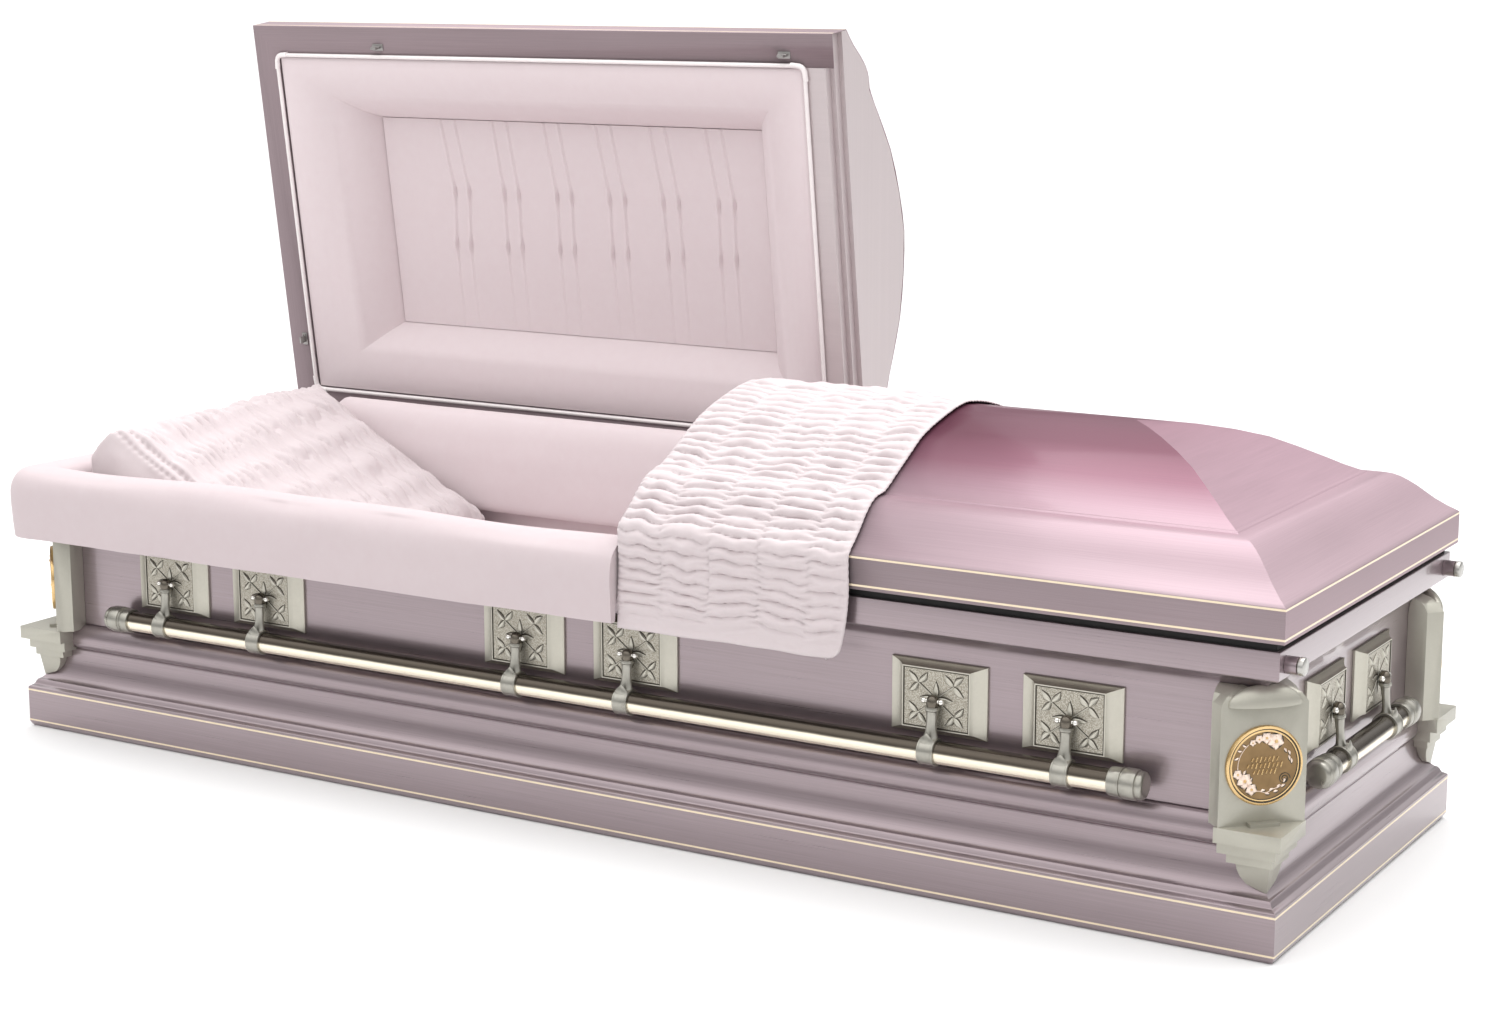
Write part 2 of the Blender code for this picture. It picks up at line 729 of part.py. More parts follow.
def bar_profile(half, arms):
    """Radius along the bar with its end caps and a collar at each arm."""
    cap_start = half - CAP_LENGTH
    collar = COLLAR_WIDTH / 2
    profile = [
        (0.0, -half),
        (CAP_RADIUS * 0.82, -half),
        (CAP_RADIUS, -half + 0.004),
        (CAP_RADIUS, -cap_start - 0.010),
        (CAP_RADIUS - 0.0015, -cap_start),
        (BAR_RADIUS, -cap_start),
    ]
    for x in arms:
        profile += [
            (BAR_RADIUS, x - collar),
            (COLLAR_RADIUS, x - collar + 0.002),
            (COLLAR_RADIUS, x + collar - 0.002),
            (BAR_RADIUS, x + collar),
        ]
    profile += [(radius, -x) for radius, x in profile[5::-1]]
    return profile


def arm_sections():
    """Outline of an arm from its round head down to the collar: inset, height, half width, half depth."""
    inset_change = BAR_INSET - AXIS_INSET
    rows = (
        (0.0, HEAD_RADIUS * 0.94, 0.50, 0.50),
        (0.0, 0.0, 1.0, 1.0),
        (0.45, -BAR_DROP * 0.5, 0.80, 0.55),
        (0.80, -BAR_DROP * 0.72, 1.05, 0.62),
        (1.0, -BAR_DROP, 1.10, 0.62),
    )
    sections = []
    for share, height, wide, deep in rows:
        sections.append((inset_change * share, height, ARM_WIDTH / 2 * wide, HEAD_RADIUS * deep))
    return sections


def handle_arms(arms, material):
    """All arms of one handle, in the handle's frame with the swing axis along x."""
    bm = bmesh.new()
    for x in arms:
        rows = []
        for inset, z, wide, deep in arm_sections():
            flat = wide * 0.6
            plan = [(-wide, 0), (-flat, -deep), (flat, -deep), (wide, 0), (flat, deep), (-flat, deep)]
            rows.append([bm.verts.new((x + px, inset + py, z)) for px, py in plan])
        for row, following in zip(rows, rows[1:]):
            for index in range(len(row)):
                after = (index + 1) % len(row)
                bm.faces.new((row[index], row[after], following[after], following[index]))
        bm.faces.new(rows[0])
        bm.faces.new(rows[-1])
    return make_object("arms", bm, material)


def handle_pins(arms, material):
    """Short round pins through the arm heads."""
    bm = bmesh.new()
    half = PIN_LENGTH / 2
    for x in arms:
        section = arc((0, 0), (PIN_RADIUS, PIN_RADIUS), 0, 270, 3)
        rows = [[bm.verts.new((x + end, a, b)) for a, b in section] for end in (-half, half)]
        bm.faces.new(rows[0])
        bm.faces.new(rows[1])
        for index in range(len(section)):
            after = (index + 1) % len(section)
            bm.faces.new((rows[0][index], rows[0][after], rows[1][after], rows[1][index]))
    return make_object("pins", bm, material)


def handle(side, material):
    """Swing-bar handle: one bar on several arms, hanging from the lug plates."""
    arms = lug_positions(side)
    half = SIDE_BAR_HALF if side in ("front", "back") else END_BAR_HALF
    bar = make_object(f"handle_{side}", turned(bar_profile(half, arms), BAR_SIDES), material)
    to_bar = Matrix.Translation((0, BAR_INSET - AXIS_INSET, -BAR_DROP)) @ Matrix.Rotation(math.pi / 2, 4, "Y")
    bar.data.transform(to_bar)
    arm_solids = combine(handle_arms(arms, material), handle_pins(arms, material), "UNION")
    combine(bar, arm_solids, "UNION")
    round_shading(bar)
    bar.matrix_world = side_matrix(side) @ Matrix.Translation((0, AXIS_INSET, LUG_CENTRE))
    return bar


def corner_plan(face, half_width):
    """Plan of the ornament from its diagonal face back to the panels, in inset coordinates."""
    root = math.sqrt(2)
    front = ((face + half_width) / root, (face - half_width) / root)
    back = ((ORNAMENT_BACK + half_width) / root, (ORNAMENT_BACK - half_width) / root)
    wall = max(ORNAMENT_WALL, back[0] + ORNAMENT_LAP)
    deep = PANEL_INSET + ORNAMENT_SEAT
    half = [front, back, (wall, back[1] + ORNAMENT_LAP), (wall, deep)]
    return half + [(b, a) for a, b in half[::-1]]


def ornament_tier(inset, reach, low, high):
    """Square-cornered block that follows both sides of the corner."""
    deep = PANEL_INSET + ORNAMENT_SEAT
    plan = [(inset, inset), (reach, inset), (reach, deep), (deep, deep), (deep, reach), (inset, reach)]

    def upright(u, v, z):
        return (u, v, z)

    return prism(plan, low, high, upright)


def ornament_foot(top):
    """Tapering drop below the tiers, ending in a point on the corner of the cove."""
    rings = []
    for step in range(5):
        share = step / 4
        inset = FOOT_INSET + FOOT_SLOPE * share
        reach = FOOT_TIP + FOOT_SPREAD * math.sqrt(max(1 - share * share, 0.0))
        deep = inset + FOOT_DEPTH
        z = top - FOOT_HEIGHT * share
        plan = [(inset, inset), (reach, inset), (reach, deep), (deep, reach), (inset, reach)]
        rings.append([(u, v, z) for u, v in plan])
    return loft(rings)


def body_envelope(clearance):
    """Solid of the body's outside, a little larger, to cut the ornaments against."""
    outline = moulding_outline()[1:-1] + panel_outline()[1:-1]
    grown = offset_line(outline, -clearance)
    far = ORNAMENT_WALL * 3
    rings = []
    for inset, z in grown:
        rings.append([(inset, inset, z), (far, inset, z), (far, far, z), (inset, far, z)])
    return loft(rings)


def corner_ornament_original(material):
    """Cast corner piece with a diagonal face, a stepped shelf and a pointed foot."""
    plate_bottom = MOULDING_TOP - PLATE_DROP
    plate_top = plate_bottom + ORNAMENT_PLATE_HEIGHT
    dome = ORNAMENT_DOME
    levels = (
        (plate_bottom - ORNAMENT_LAP, 0.0, 1.0),
        (plate_top, 0.0, 1.0),
        (plate_top + dome * 0.5, dome * 0.16, 0.86),
        (plate_top + dome * 0.8, dome * 0.49, 0.65),
        (plate_top + dome, dome * 0.91, 0.38),
    )
    rings = []
    for z, back, narrow in levels:
        plan = corner_plan(ORNAMENT_FACE + back, ORNAMENT_HALF_WIDTH * narrow)
        rings.append([(u, v, z) for u, v in plan])
    ornament = make_object("corner_ornament", loft(rings), material)
    shelf_bottom = plate_bottom - SHELF_HEIGHT
    tier_bottom = shelf_bottom - TIER_HEIGHT
    lower_bottom = tier_bottom - LOWER_TIER_HEIGHT
    reach = (ORNAMENT_FACE + ORNAMENT_HALF_WIDTH) / math.sqrt(2)
    lap = ORNAMENT_LAP
    tiers = (
        ornament_tier(-ORNAMENT_LEG, reach + SHELF_REACH, shelf_bottom, plate_bottom),
        ornament_tier(TIER_INSET, reach + TIER_REACH, tier_bottom, shelf_bottom + lap),
        ornament_tier(LOWER_TIER_INSET, reach + LOWER_TIER_REACH, lower_bottom, tier_bottom + lap),
        ornament_foot(lower_bottom + lap),
    )
    for tier in tiers:
        combine(ornament, make_object("tier", tier, material), "UNION")
    combine(ornament, make_object("envelope", body_envelope(GAP), material), "DIFFERENCE")
    return ornament


def medallion_original(material):
    """Round plaque with a raised double rim; its back lies on y = 0 and it faces -Y."""
    radius = MEDALLION_RADIUS
    depth = MEDALLION_DEPTH
    profile = [
        (0.0, 0.0),
        (radius, 0.0),
        (radius, depth * 0.6),
        (radius - 0.005, depth),
        (radius - 0.0065, depth * 0.6),
        (0.0, depth * 0.6),
    ]
    plaque = make_object("medallion", turned(profile, MEDALLION_SIDES), material)
    plaque.data.transform(Matrix.Rotation(math.pi / 2, 4, "X"))
    return plaque


def corner_pieces(ornament_material, medallion_material):
    """Ornament and medallion on each of the four corners."""
    ornament = corner_ornament_original(ornament_material)
    plaque = medallion_original(medallion_material)
    corners = (
        ("front_head", -1, -1, 0),
        ("front_foot", 1, -1, 90),
        ("back_foot", 1, 1, 180),
        ("back_head", -1, 1, 270),
    )
    face = (ORNAMENT_FACE - GAP) / math.sqrt(2)
    for name, sign_x, sign_y, turn in corners:
        corner = Matrix.Translation((sign_x * HALF_LENGTH, sign_y * HALF_WIDTH, 0))
        corner = corner @ Matrix.Rotation(math.radians(turn), 4, "Z")
        share_mesh(f"corner_ornament_{name}", ornament, corner)
        spot = Matrix.Translation((face, face, MEDALLION_HEIGHT)) @ Matrix.Rotation(math.radians(-45), 4, "Z")
        share_mesh(f"corner_medallion_{name}", plaque, corner @ spot)
    bpy.data.objects.remove(ornament)
    bpy.data.objects.remove(plaque)


def lock_barrels(material):
    """Two round locks on the foot end's rim."""
    profile = [
        (0.0, 0.0),
        (LOCK_RADIUS, 0.0),
        (LOCK_RADIUS, LOCK_LENGTH * 0.62),
        (LOCK_RADIUS * 0.88, LOCK_LENGTH * 0.68),
        (LOCK_RADIUS, LOCK_LENGTH - 0.002),
        (LOCK_RADIUS - 0.002, LOCK_LENGTH),
        (0.0, LOCK_LENGTH),
    ]
    for name, sign in (("front", -1), ("back", 1)):
        barrel = make_object(f"lock_barrel_{name}", turned(profile, 12), material)
        barrel.data.transform(Matrix.Rotation(math.pi / 2, 4, "Y"))
        spread = sign * (HALF_WIDTH - LOCK_SIDE_INSET)
        barrel.location = (HALF_LENGTH - RIM_INSET + GAP, spread, (COVE_RIM + BODY_TOP) / 2)
        round_shading(barrel)


def mattress(material):
    """Mattress on its bed, one plain block from the pan to the lying surface."""
    x = HALF_LENGTH - MATTRESS_END_INSET
    y = HALF_WIDTH - MATTRESS_SIDE_INSET
    return make_object("mattress", block((-x, -y, SHEET + GAP), (x, y, MATTRESS_TOP)), material)


def body_lining(material):
    """Fabric ring on the inner walls, with a padded roll along the back of the open half."""
    bottom = MATTRESS_TOP + LINING_CLEARANCE
    top = BODY_TOP - LINING_RIM_DROP
    rings = []
    for inset, z in ((LINING_INSET, bottom), (LINING_INSET, top), (RING_INNER, top), (RING_INNER, bottom)):
        x = HALF_LENGTH - inset
        y = HALF_WIDTH - inset
        rings.append(rectangle(-x, x, -y, y, z))
    lining = make_object("body_lining", loft(rings, closed=True), material)
    outer = HALF_WIDTH - LINING_INSET - LINING_CLEARANCE
    low = bottom + ROLL_RISE
    rise = ROLL_TOP - low
    section = [
        (outer, low),
        (outer, low + rise * 0.88),
        (outer - ROLL_WIDTH * 0.12, low + rise * 0.97),
        (outer - ROLL_WIDTH * 0.32, ROLL_TOP),
        (outer - ROLL_WIDTH * 0.60, low + rise * 0.95),
        (outer - ROLL_WIDTH * 0.84, low + rise * 0.80),
        (outer - ROLL_WIDTH * 0.97, low + rise * 0.55),
        (outer - ROLL_WIDTH, low + rise * 0.25),
        (outer - ROLL_WIDTH * 0.95, low),
    ]

    def along_x(y, z, x):
        return (x, y, z)

    start = ROLL_HEAD_INSET - HALF_LENGTH
    roll = make_object("roll", prism(section, start, SPLIT_X - ROLL_SPLIT_DISTANCE, along_x), material)
    return combine(lining, roll, "UNION")


def pillow(material):
    """Wedge of a pillow, its head edge propped high against the head end."""
    lift = MATTRESS_TOP + PILLOW_LIFT
    thickness = PILLOW_THICKNESS
    head = PILLOW_HEAD_INSET - HALF_LENGTH
    foot = PILLOW_FOOT_INSET - HALF_LENGTH
    head_top = MATTRESS_TOP + PILLOW_HEAD_RISE
    foot_top = MATTRESS_TOP + PILLOW_FOOT_RISE
    front = (PILLOW_FRONT_INSET - HALF_WIDTH, head, head_top, foot, foot_top)
    back = (
        HALF_WIDTH - PILLOW_BACK_INSET,
        head + PILLOW_HEAD_SKEW,
        head_top + PILLOW_HEAD_TILT,
        foot - PILLOW_FOOT_SKEW,
        foot_top + PILLOW_FOOT_TILT,
    )
    rows = []
    for y, head_x, head_z, foot_x, foot_z in (front, back):
        slope = math.atan2(head_z - foot_z, foot_x - head_x)
        under_x = head_x - thickness * math.sin(slope) * 0.8
        under_z = head_z - thickness * math.cos(slope)
        outline = [
            (head_x, head_z),
            (foot_x, foot_z),
            (foot_x - PILLOW_TOE * 0.17, lift + PILLOW_TOE * 0.17),
            (foot_x - PILLOW_TOE, lift),
            (under_x, under_z),
            (under_x + thickness * 0.03, under_z + thickness * 0.5),
        ]
        rows.append([(x, y, z) for x, z in outline])
    return make_object("pillow", loft(rows), material)


def apron(material):
    """Fabric apron over the front and head rims of the open half, hanging outside."""
    drop = BODY_TOP - APRON_DROP
    clear = APRON_CLEARANCE
    outer = ORNAMENT_LEG + clear / 2
    out = outer + APRON_THICKNESS
    top = LID_BOTTOM
    rim_outer = RIM_INSET - clear
    rim_inner = RIM_INSET + RIM_WIDTH + clear
    inside = RING_INNER + clear
    puff = APRON_PUFF
    section = [
        (-out + clear * 2, drop),
        (-out - clear, drop + APRON_FOLD),
        (-out, top - puff * 0.2),
        (-out + puff * 0.6, top + puff * 0.7),
        (rim_outer + puff * 0.5, top + puff),
        (rim_inner, top + puff * 0.83),
        (inside, top + puff * 0.15),
        (inside, BODY_TOP - LINING_CLEARANCE),
        (rim_inner, BODY_TOP - LINING_CLEARANCE),
        (rim_inner, top + clear / 3),
        (rim_outer, top + clear / 3),
        (rim_outer, drop + APRON_FOLD),
        (-outer, drop + APRON_FOLD * 0.65),
        (-outer, drop),
    ]
    stations = [
        ((SPLIT_X, -HALF_WIDTH), (0, 1)),
        ((-HALF_LENGTH, -HALF_WIDTH), (1, 1)),
        ((-HALF_LENGTH, HALF_WIDTH - LINING_INSET), (1, 0)),
    ]
    return make_object("apron", sweep(section, stations), material)


def throw(material, pivot):
    """Quilted throw lying over the foot lid from the split, hanging down the front."""
    half = [(LID_HALF_WIDTH - inset, z) for inset, z in lid_outline()[2:]]
    clear = THROW_CLEARANCE
    line = [(-half[0][0], LID_BOTTOM - THROW_DROP)]
    line += [(-y, z) for y, z in half]
    line += [(y, z) for y, z in half[-2:0:-1]]
    inner = offset_line(line, -clear)
    outer = offset_line(line, -clear - THROW_THICKNESS)

    def along_x(y, z, x):
        return (x, y, z)

    start = FOOT_LID_END + THROW_CLEARANCE
    piece = make_object("throw", prism(inner + outer[::-1], start, start + THROW_WIDTH, along_x), material)
    ride_on(piece, pivot)
    return piece


def build_body(paint, rubber, lining):
    bottom_pan(paint)
    side_pieces("base_moulding", moulding_outline(), paint)
    panels = side_pieces("body_panel", panel_outline(), paint)
    gasket = body_gasket(rubber)
    cut_catch_slots(gasket, panels, rubber)
    mattress(lining)
    body_lining(lining)
    pillow(lining)
    apron(lining)


def build_lids(paint, hardware, lining):
    head = lid_pivot("head_lid_pivot", OPEN_ANGLE)
    foot = lid_pivot("foot_lid_pivot", 0)
    lid_shell("head_lid_shell", -LID_HALF_LENGTH, HEAD_LID_END, paint, head)
    lid_shell("foot_lid_shell", LID_HALF_LENGTH, FOOT_LID_END, paint, foot)
    lid_header("head_lid_header", HEAD_LID_END, -1, paint, head)
    lid_header("foot_lid_header", FOOT_LID_END, 1, paint, foot)
    lid_gasket(lining, head)
    lid_lining_roll(lining, head)
    lining_panel(
        "head_lid_lining_panel",
        LID_OPENING_HEAD + GAP,
        LID_OPENING_SPLIT - GAP,
        LID_OPENING_HALF_WIDTH - GAP,
        LID_LINING_DEPTH,
        lining,
        head,
    )
    lining_panel(
        "foot_lid_lining",
        FOOT_LID_END + FOOT_LINING_INSET,
        LID_HALF_LENGTH - FOOT_LINING_INSET,
        LID_HALF_WIDTH - FOOT_LINING_INSET,
        LID_LINING_DEPTH,
        lining,
        foot,
    )
    for name, place, side in catch_places():
        lid_catch(name, place, side, hardware, head)
    centres = (
        ("head", (HEAD_LID_END - LID_HALF_LENGTH) / 2, head),
        ("foot", (FOOT_LID_END + LID_HALF_LENGTH) / 2, foot),
    )
    for name, centre, pivot in centres:
        body_hinge(f"{name}_hinge", centre, hardware)
        lid_leaf(f"{name}_lid_hinge_leaf", centre, hardware, pivot)
    throw(lining, foot)


def main():
    for obj in list(bpy.data.objects):
        bpy.data.objects.remove(obj)
    paint = make_material("painted_shell", (0.58, 0.49, 0.50), 0.7, 0.3)
    hardware = make_material("antique_hardware", (0.62, 0.59, 0.52), 0.8, 0.35)
    bronze = make_material("medallion_brass", (0.66, 0.47, 0.24), 0.9, 0.35)
    rubber = make_material("dark_gasket", (0.02, 0.02, 0.02), 0.0, 0.7)
    lining = make_material("pink_lining", (0.86, 0.74, 0.74), 0.0, 0.9)
    build_body(paint, rubber, lining)
    lug_plates(hardware)
    for side in SIDE_TURNS:
        handle(side, hardware)
    corner_pieces(hardware, bronze)
    lock_barrels(hardware)
    build_lids(paint, hardware, lining)


main()
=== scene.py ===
# %% [markdown]
# # A half-couch funeral casket
#
# The frame is the engineered model: every solid at its real size, on its joint.
# This lesson dresses it. Sheet metal is drawn as thin folded skins, castings are
# modelled piece by piece, and the lining is cloth that is gathered, rolled and draped.

# %% Load the frame
import json
import math

import bmesh
import bpy
from mathutils import Matrix, Vector, noise


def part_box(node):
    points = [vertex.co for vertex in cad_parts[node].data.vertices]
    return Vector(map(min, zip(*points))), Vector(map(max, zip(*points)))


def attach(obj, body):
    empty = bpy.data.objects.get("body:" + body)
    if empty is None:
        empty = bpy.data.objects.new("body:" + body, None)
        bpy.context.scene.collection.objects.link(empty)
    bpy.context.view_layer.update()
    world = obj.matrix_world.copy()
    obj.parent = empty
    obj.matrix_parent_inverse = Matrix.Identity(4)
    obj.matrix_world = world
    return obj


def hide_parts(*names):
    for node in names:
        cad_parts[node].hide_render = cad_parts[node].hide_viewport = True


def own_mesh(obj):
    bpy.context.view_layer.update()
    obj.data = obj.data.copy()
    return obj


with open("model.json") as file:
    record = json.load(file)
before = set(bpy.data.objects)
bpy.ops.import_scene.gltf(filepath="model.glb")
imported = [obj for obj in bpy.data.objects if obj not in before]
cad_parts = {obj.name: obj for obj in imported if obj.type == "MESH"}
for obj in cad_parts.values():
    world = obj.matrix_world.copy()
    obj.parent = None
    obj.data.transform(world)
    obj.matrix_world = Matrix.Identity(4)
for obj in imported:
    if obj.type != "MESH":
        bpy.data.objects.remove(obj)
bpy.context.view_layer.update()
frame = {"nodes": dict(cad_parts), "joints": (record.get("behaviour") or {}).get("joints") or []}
print("frame loaded:", len(frame["nodes"]), "solids")

# %% [markdown]
# ## Sizes from the frame
#
# Levels and edges are read from the solids, so that every skin lands on its solid.

# %% Read levels and edges
def low(node):
    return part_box(node)[0]


def high(node):
    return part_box(node)[1]


HALF_LENGTH = high("base_moulding_front").x + 0.0003
HALF_WIDTH = high("base_moulding_foot").y + 0.0003
MOULDING_TOP = high("base_moulding_front").z
PANEL_BOTTOM = low("body_panel_front").z
BODY_TOP = high("body_panel_front").z
LID_BOTTOM = low("foot_lid_shell").z
LID_TOP = high("foot_lid_shell").z
LID_END = high("foot_lid_shell").x
LID_SIDE = high("foot_lid_shell").y
FOOT_LID_START = low("foot_lid_shell").x
HEAD_LID_END = high("head_lid_shell").x
hinge = next(joint for joint in frame["joints"] if joint["name"] == "head_lid_hinge")
HINGE = Vector(hinge["pos_m"])
OPEN_ANGLE = math.radians(hinge["range_deg"][1])
OPEN = Matrix.Translation(HINGE) @ Matrix.Rotation(-OPEN_ANGLE, 4, "X") @ Matrix.Translation(-HINGE)
LUG_CENTRE = (low("lug_plate_front_1").z + high("lug_plate_front_1").z) / 2
PANEL_INSET = 0.040
SHEET = 0.0012
print("half length", round(HALF_LENGTH, 4), "half width", round(HALF_WIDTH, 4))
print("lid rim", round(LID_BOTTOM, 4))

# %% [markdown]
# ## Shader maths
#
# A finish is easier to read as an expression than as a list of links. A small class
# wraps a socket, and its operators add the Math nodes. Another class holds one
# material and adds any other node from its type, settings and inputs.

# %% Sockets as numbers
class Value:
    def __init__(self, finish, socket):
        self.finish = finish
        self.socket = socket

    def math(self, operation, *others):
        return self.finish.add("ShaderNodeMath", {"operation": operation}, [self, *others])

    def __add__(self, other):
        return self.math("ADD", other)

    def __radd__(self, other):
        return self.math("ADD", other)

    def __sub__(self, other):
        return self.math("SUBTRACT", other)

    def __rsub__(self, other):
        return self.finish.add("ShaderNodeMath", {"operation": "SUBTRACT"}, [other, self])

    def __mul__(self, other):
        return self.math("MULTIPLY", other)

    def __rmul__(self, other):
        return self.math("MULTIPLY", other)

    def above(self, limit, softness):
        """0 below the limit and 1 above it, with a soft edge."""
        settings = {"interpolation_type": "SMOOTHSTEP"}
        inputs = {"Value": self, "From Min": limit - softness, "From Max": limit + softness}
        return self.finish.add("ShaderNodeMapRange", settings, inputs)


class Finish:
    """One material under construction."""

    def __init__(self, name):
        self.material = bpy.data.materials.new(name)
        self.material.use_nodes = True
        self.tree = self.material.node_tree
        self.shader = self.tree.nodes["Principled BSDF"]

    def add(self, kind, settings=None, inputs=(), output=0):
        node = self.tree.nodes.new(kind)
        for key, value in (settings or {}).items():
            if key == "stops":
                ramp = node.color_ramp
                while len(ramp.elements) < len(value):
                    ramp.elements.new(0.5)
                for element, (place, color) in zip(ramp.elements, value):
                    element.position = place
                    element.color = (*color, 1.0)
            else:
                setattr(node, key, value)
        pairs = inputs.items() if isinstance(inputs, dict) else enumerate(inputs)
        for key, value in pairs:
            self.feed(node.inputs[key], value)
        return Value(self, node.outputs[output])

    def feed(self, target, value):
        if isinstance(value, Value):
            self.tree.links.new(value.socket, target)
        else:
            target.default_value = value

    def place(self, coordinates="Object"):
        """Object coordinates, or the piece's own UV map."""
        return self.add("ShaderNodeTexCoord", output=coordinates)

    def stretch(self, vector, scale):
        return self.add("ShaderNodeMapping", {}, {"Vector": vector, "Scale": scale})

    def noise(self, vector, scale, detail=3.0, roughness=0.5):
        inputs = {"Vector": vector, "Scale": scale, "Detail": detail, "Roughness": roughness}
        return self.add("ShaderNodeTexNoise", {}, inputs)

    def blend(self, amount, first, second):
        """Mix two colours, given as triples or as links."""
        inputs = {0: amount}
        for key, color in ((6, first), (7, second)):
            inputs[key] = color if isinstance(color, Value) else (*color, 1.0)
        return self.add("ShaderNodeMix", {"data_type": "RGBA"}, inputs, output=2)

    def bump(self, height, strength, distance):
        inputs = {"Height": height, "Strength": strength, "Distance": distance}
        return self.add("ShaderNodeBump", {}, inputs)

    def set(self, **inputs):
        """Set the shader's sockets; an underscore stands for a space."""
        for key, value in inputs.items():
            target = self.shader.inputs[key.replace("_", " ")]
            if isinstance(value, tuple) and len(value) == 3:
                value = (*value, 1.0)
            self.feed(target, value)
        return self.material


print("shader helpers ready")

# %% [markdown]
# ## Finishes
#
# The shell is brushed steel under a tinted, very glossy clear coat: the brush lines run
# along each panel, so they follow the sheet's own UV map. The castings are plated and
# antiqued, which leaves them darker in the hollows and bright on the ridges.

# %% Brushed shell paint
def shell_paint(name, light, dark, metal, rough, coat, coordinates="UV"):
    finish = Finish(name)
    sheet = finish.place(coordinates)
    lines = finish.noise(finish.stretch(sheet, (4.0, 420.0, 1.0)), 1.0, 4.0, 0.7)
    clouds = finish.noise(finish.stretch(sheet, (1.4, 5.0, 1.0)), 1.0, 2.0)
    tone = lines * 0.68 + clouds * 0.32
    color = finish.blend(tone, dark, light)
    rough_map = lines * 0.16 + (rough - 0.08)
    return finish.set(
        Base_Color=color,
        Metallic=metal,
        Roughness=rough_map,
        Coat_Weight=coat,
        Coat_Roughness=0.06,
        Normal=finish.bump(lines, 0.10, 0.0004),
    )


shell_finish = shell_paint("shell_mauve", (0.385, 0.312, 0.330), (0.200, 0.155, 0.168), 0.70, 0.30, 0.7)
HEADER_LIGHT, HEADER_DARK = (0.60, 0.53, 0.535), (0.47, 0.41, 0.415)
header_finish = shell_paint("header_brushed", HEADER_LIGHT, HEADER_DARK, 0.5, 0.42, 0.3, "Object")
print("made", shell_finish.name)

# %% Rose shading on the lids
def lid_paint(name):
    """Silver rose at the rim, deepening to rose over the crown; v runs from rim to ridge."""
    finish = Finish(name)
    sheet = finish.place("UV")
    parts = finish.add("ShaderNodeSeparateXYZ", {}, [sheet], output=1)
    lines = finish.noise(finish.stretch(sheet, (4.0, 700.0, 1.0)), 1.0, 4.0, 0.75)
    clouds = finish.noise(finish.stretch(sheet, (2.0, 3.0, 1.0)), 1.0, 2.0)
    shaded = finish.add("ShaderNodeMapRange", {}, {"Value": parts, "From Min": 0.0, "From Max": 0.50})
    stops = [
        (0.0, (0.32, 0.255, 0.27)),
        (0.19, (0.33, 0.265, 0.28)),
        (0.21, (0.48, 0.365, 0.40)),
        (0.40, (0.47, 0.345, 0.385)),
        (0.50, (0.41, 0.275, 0.32)),
        (0.62, (0.25, 0.115, 0.155)),
        (0.76, (0.155, 0.052, 0.080)),
        (1.0, (0.145, 0.050, 0.075)),
    ]
    base = finish.add("ShaderNodeValToRGB", {"stops": stops}, [shaded])
    tone = lines * 0.6 + clouds * 0.4
    multiply = {"data_type": "RGBA", "blend_type": "MULTIPLY"}
    dim = finish.add("ShaderNodeMix", multiply, {0: 0.45, 6: base}, output=2)
    grain = finish.add("ShaderNodeCombineColor", {}, [tone * 1.3, tone * 1.3, tone * 1.3])
    finish.feed(dim.socket.node.inputs[7], grain)
    return finish.set(
        Base_Color=dim,
        Metallic=0.35,
        Roughness=lines * 0.18 + 0.30,
        Coat_Weight=0.22,
        Coat_Roughness=0.13,
        Specular_IOR_Level=0.3,
        Specular_Tint=(0.85, 0.48, 0.60),
        Normal=finish.bump(lines, 0.08, 0.0004),
    )


lid_finish = lid_paint("lid_rose")
print("made", lid_finish.name)

# %% Antique plated castings
def plated(name, light, dark, metal=0.85, rough=0.33, grain=260.0):
    finish = Finish(name)
    place = finish.place()
    cloud = finish.noise(place, 35.0, 3.0)
    speckle = finish.noise(place, grain, 2.0)
    tone = cloud * 0.7 + speckle * 0.3
    return finish.set(
        Base_Color=finish.blend(tone, dark, light),
        Metallic=metal,
        Roughness=cloud * 0.16 + (rough - 0.06),
        Normal=finish.bump(speckle, 0.08, 0.0004),
    )


casting_finish = plated("antique_silver", (0.60, 0.575, 0.50), (0.44, 0.42, 0.36), 0.75, 0.36)
pewter_finish = plated("arm_pewter", (0.47, 0.455, 0.405), (0.24, 0.23, 0.20), 0.85, 0.28)
# Dark antique for the hollows; it also paints the shadows offset beside leaves, stems and strokes.
recess_and_shadow_finish = plated("antique_recess_and_painted_shadow", (0.10, 0.085, 0.065), (0.03, 0.026, 0.02), 0.5, 0.5)
ball_finish = plated("pin_silver", (0.86, 0.84, 0.80), (0.74, 0.72, 0.67), 0.95, 0.16)
lock_finish = plated("lock_silver", (0.55, 0.54, 0.51), (0.36, 0.35, 0.33), 0.9, 0.26)
steel_finish = plated("dull_steel", (0.42, 0.40, 0.39), (0.22, 0.21, 0.20), 0.9, 0.38)
corner_finish = plated("corner_silver", (0.47, 0.455, 0.395), (0.39, 0.375, 0.32), 0.62, 0.38)
dome_finish = plated("dome_bronze", (0.20, 0.175, 0.145), (0.09, 0.078, 0.06), 0.85, 0.24)
# Dark bronze for the lug borders' top and bottom faces: painted reflection of the cove above, and painted
# shade below.
bevel_reflection_and_shade_finish = plated("bevel_painted_reflection_and_shade", (0.27, 0.245, 0.20), (0.17, 0.15, 0.12), 0.75, 0.38)
gold_finish = plated("medallion_gold", (0.80, 0.58, 0.30), (0.56, 0.37, 0.16), 0.95, 0.24)
field_finish = plated("medallion_field", (0.36, 0.235, 0.115), (0.12, 0.075, 0.035), 0.85, 0.40, 90.0)
petal_finish = plated("medallion_petal", (0.88, 0.74, 0.64), (0.76, 0.60, 0.50), 0.7, 0.34)
print("castings ready")
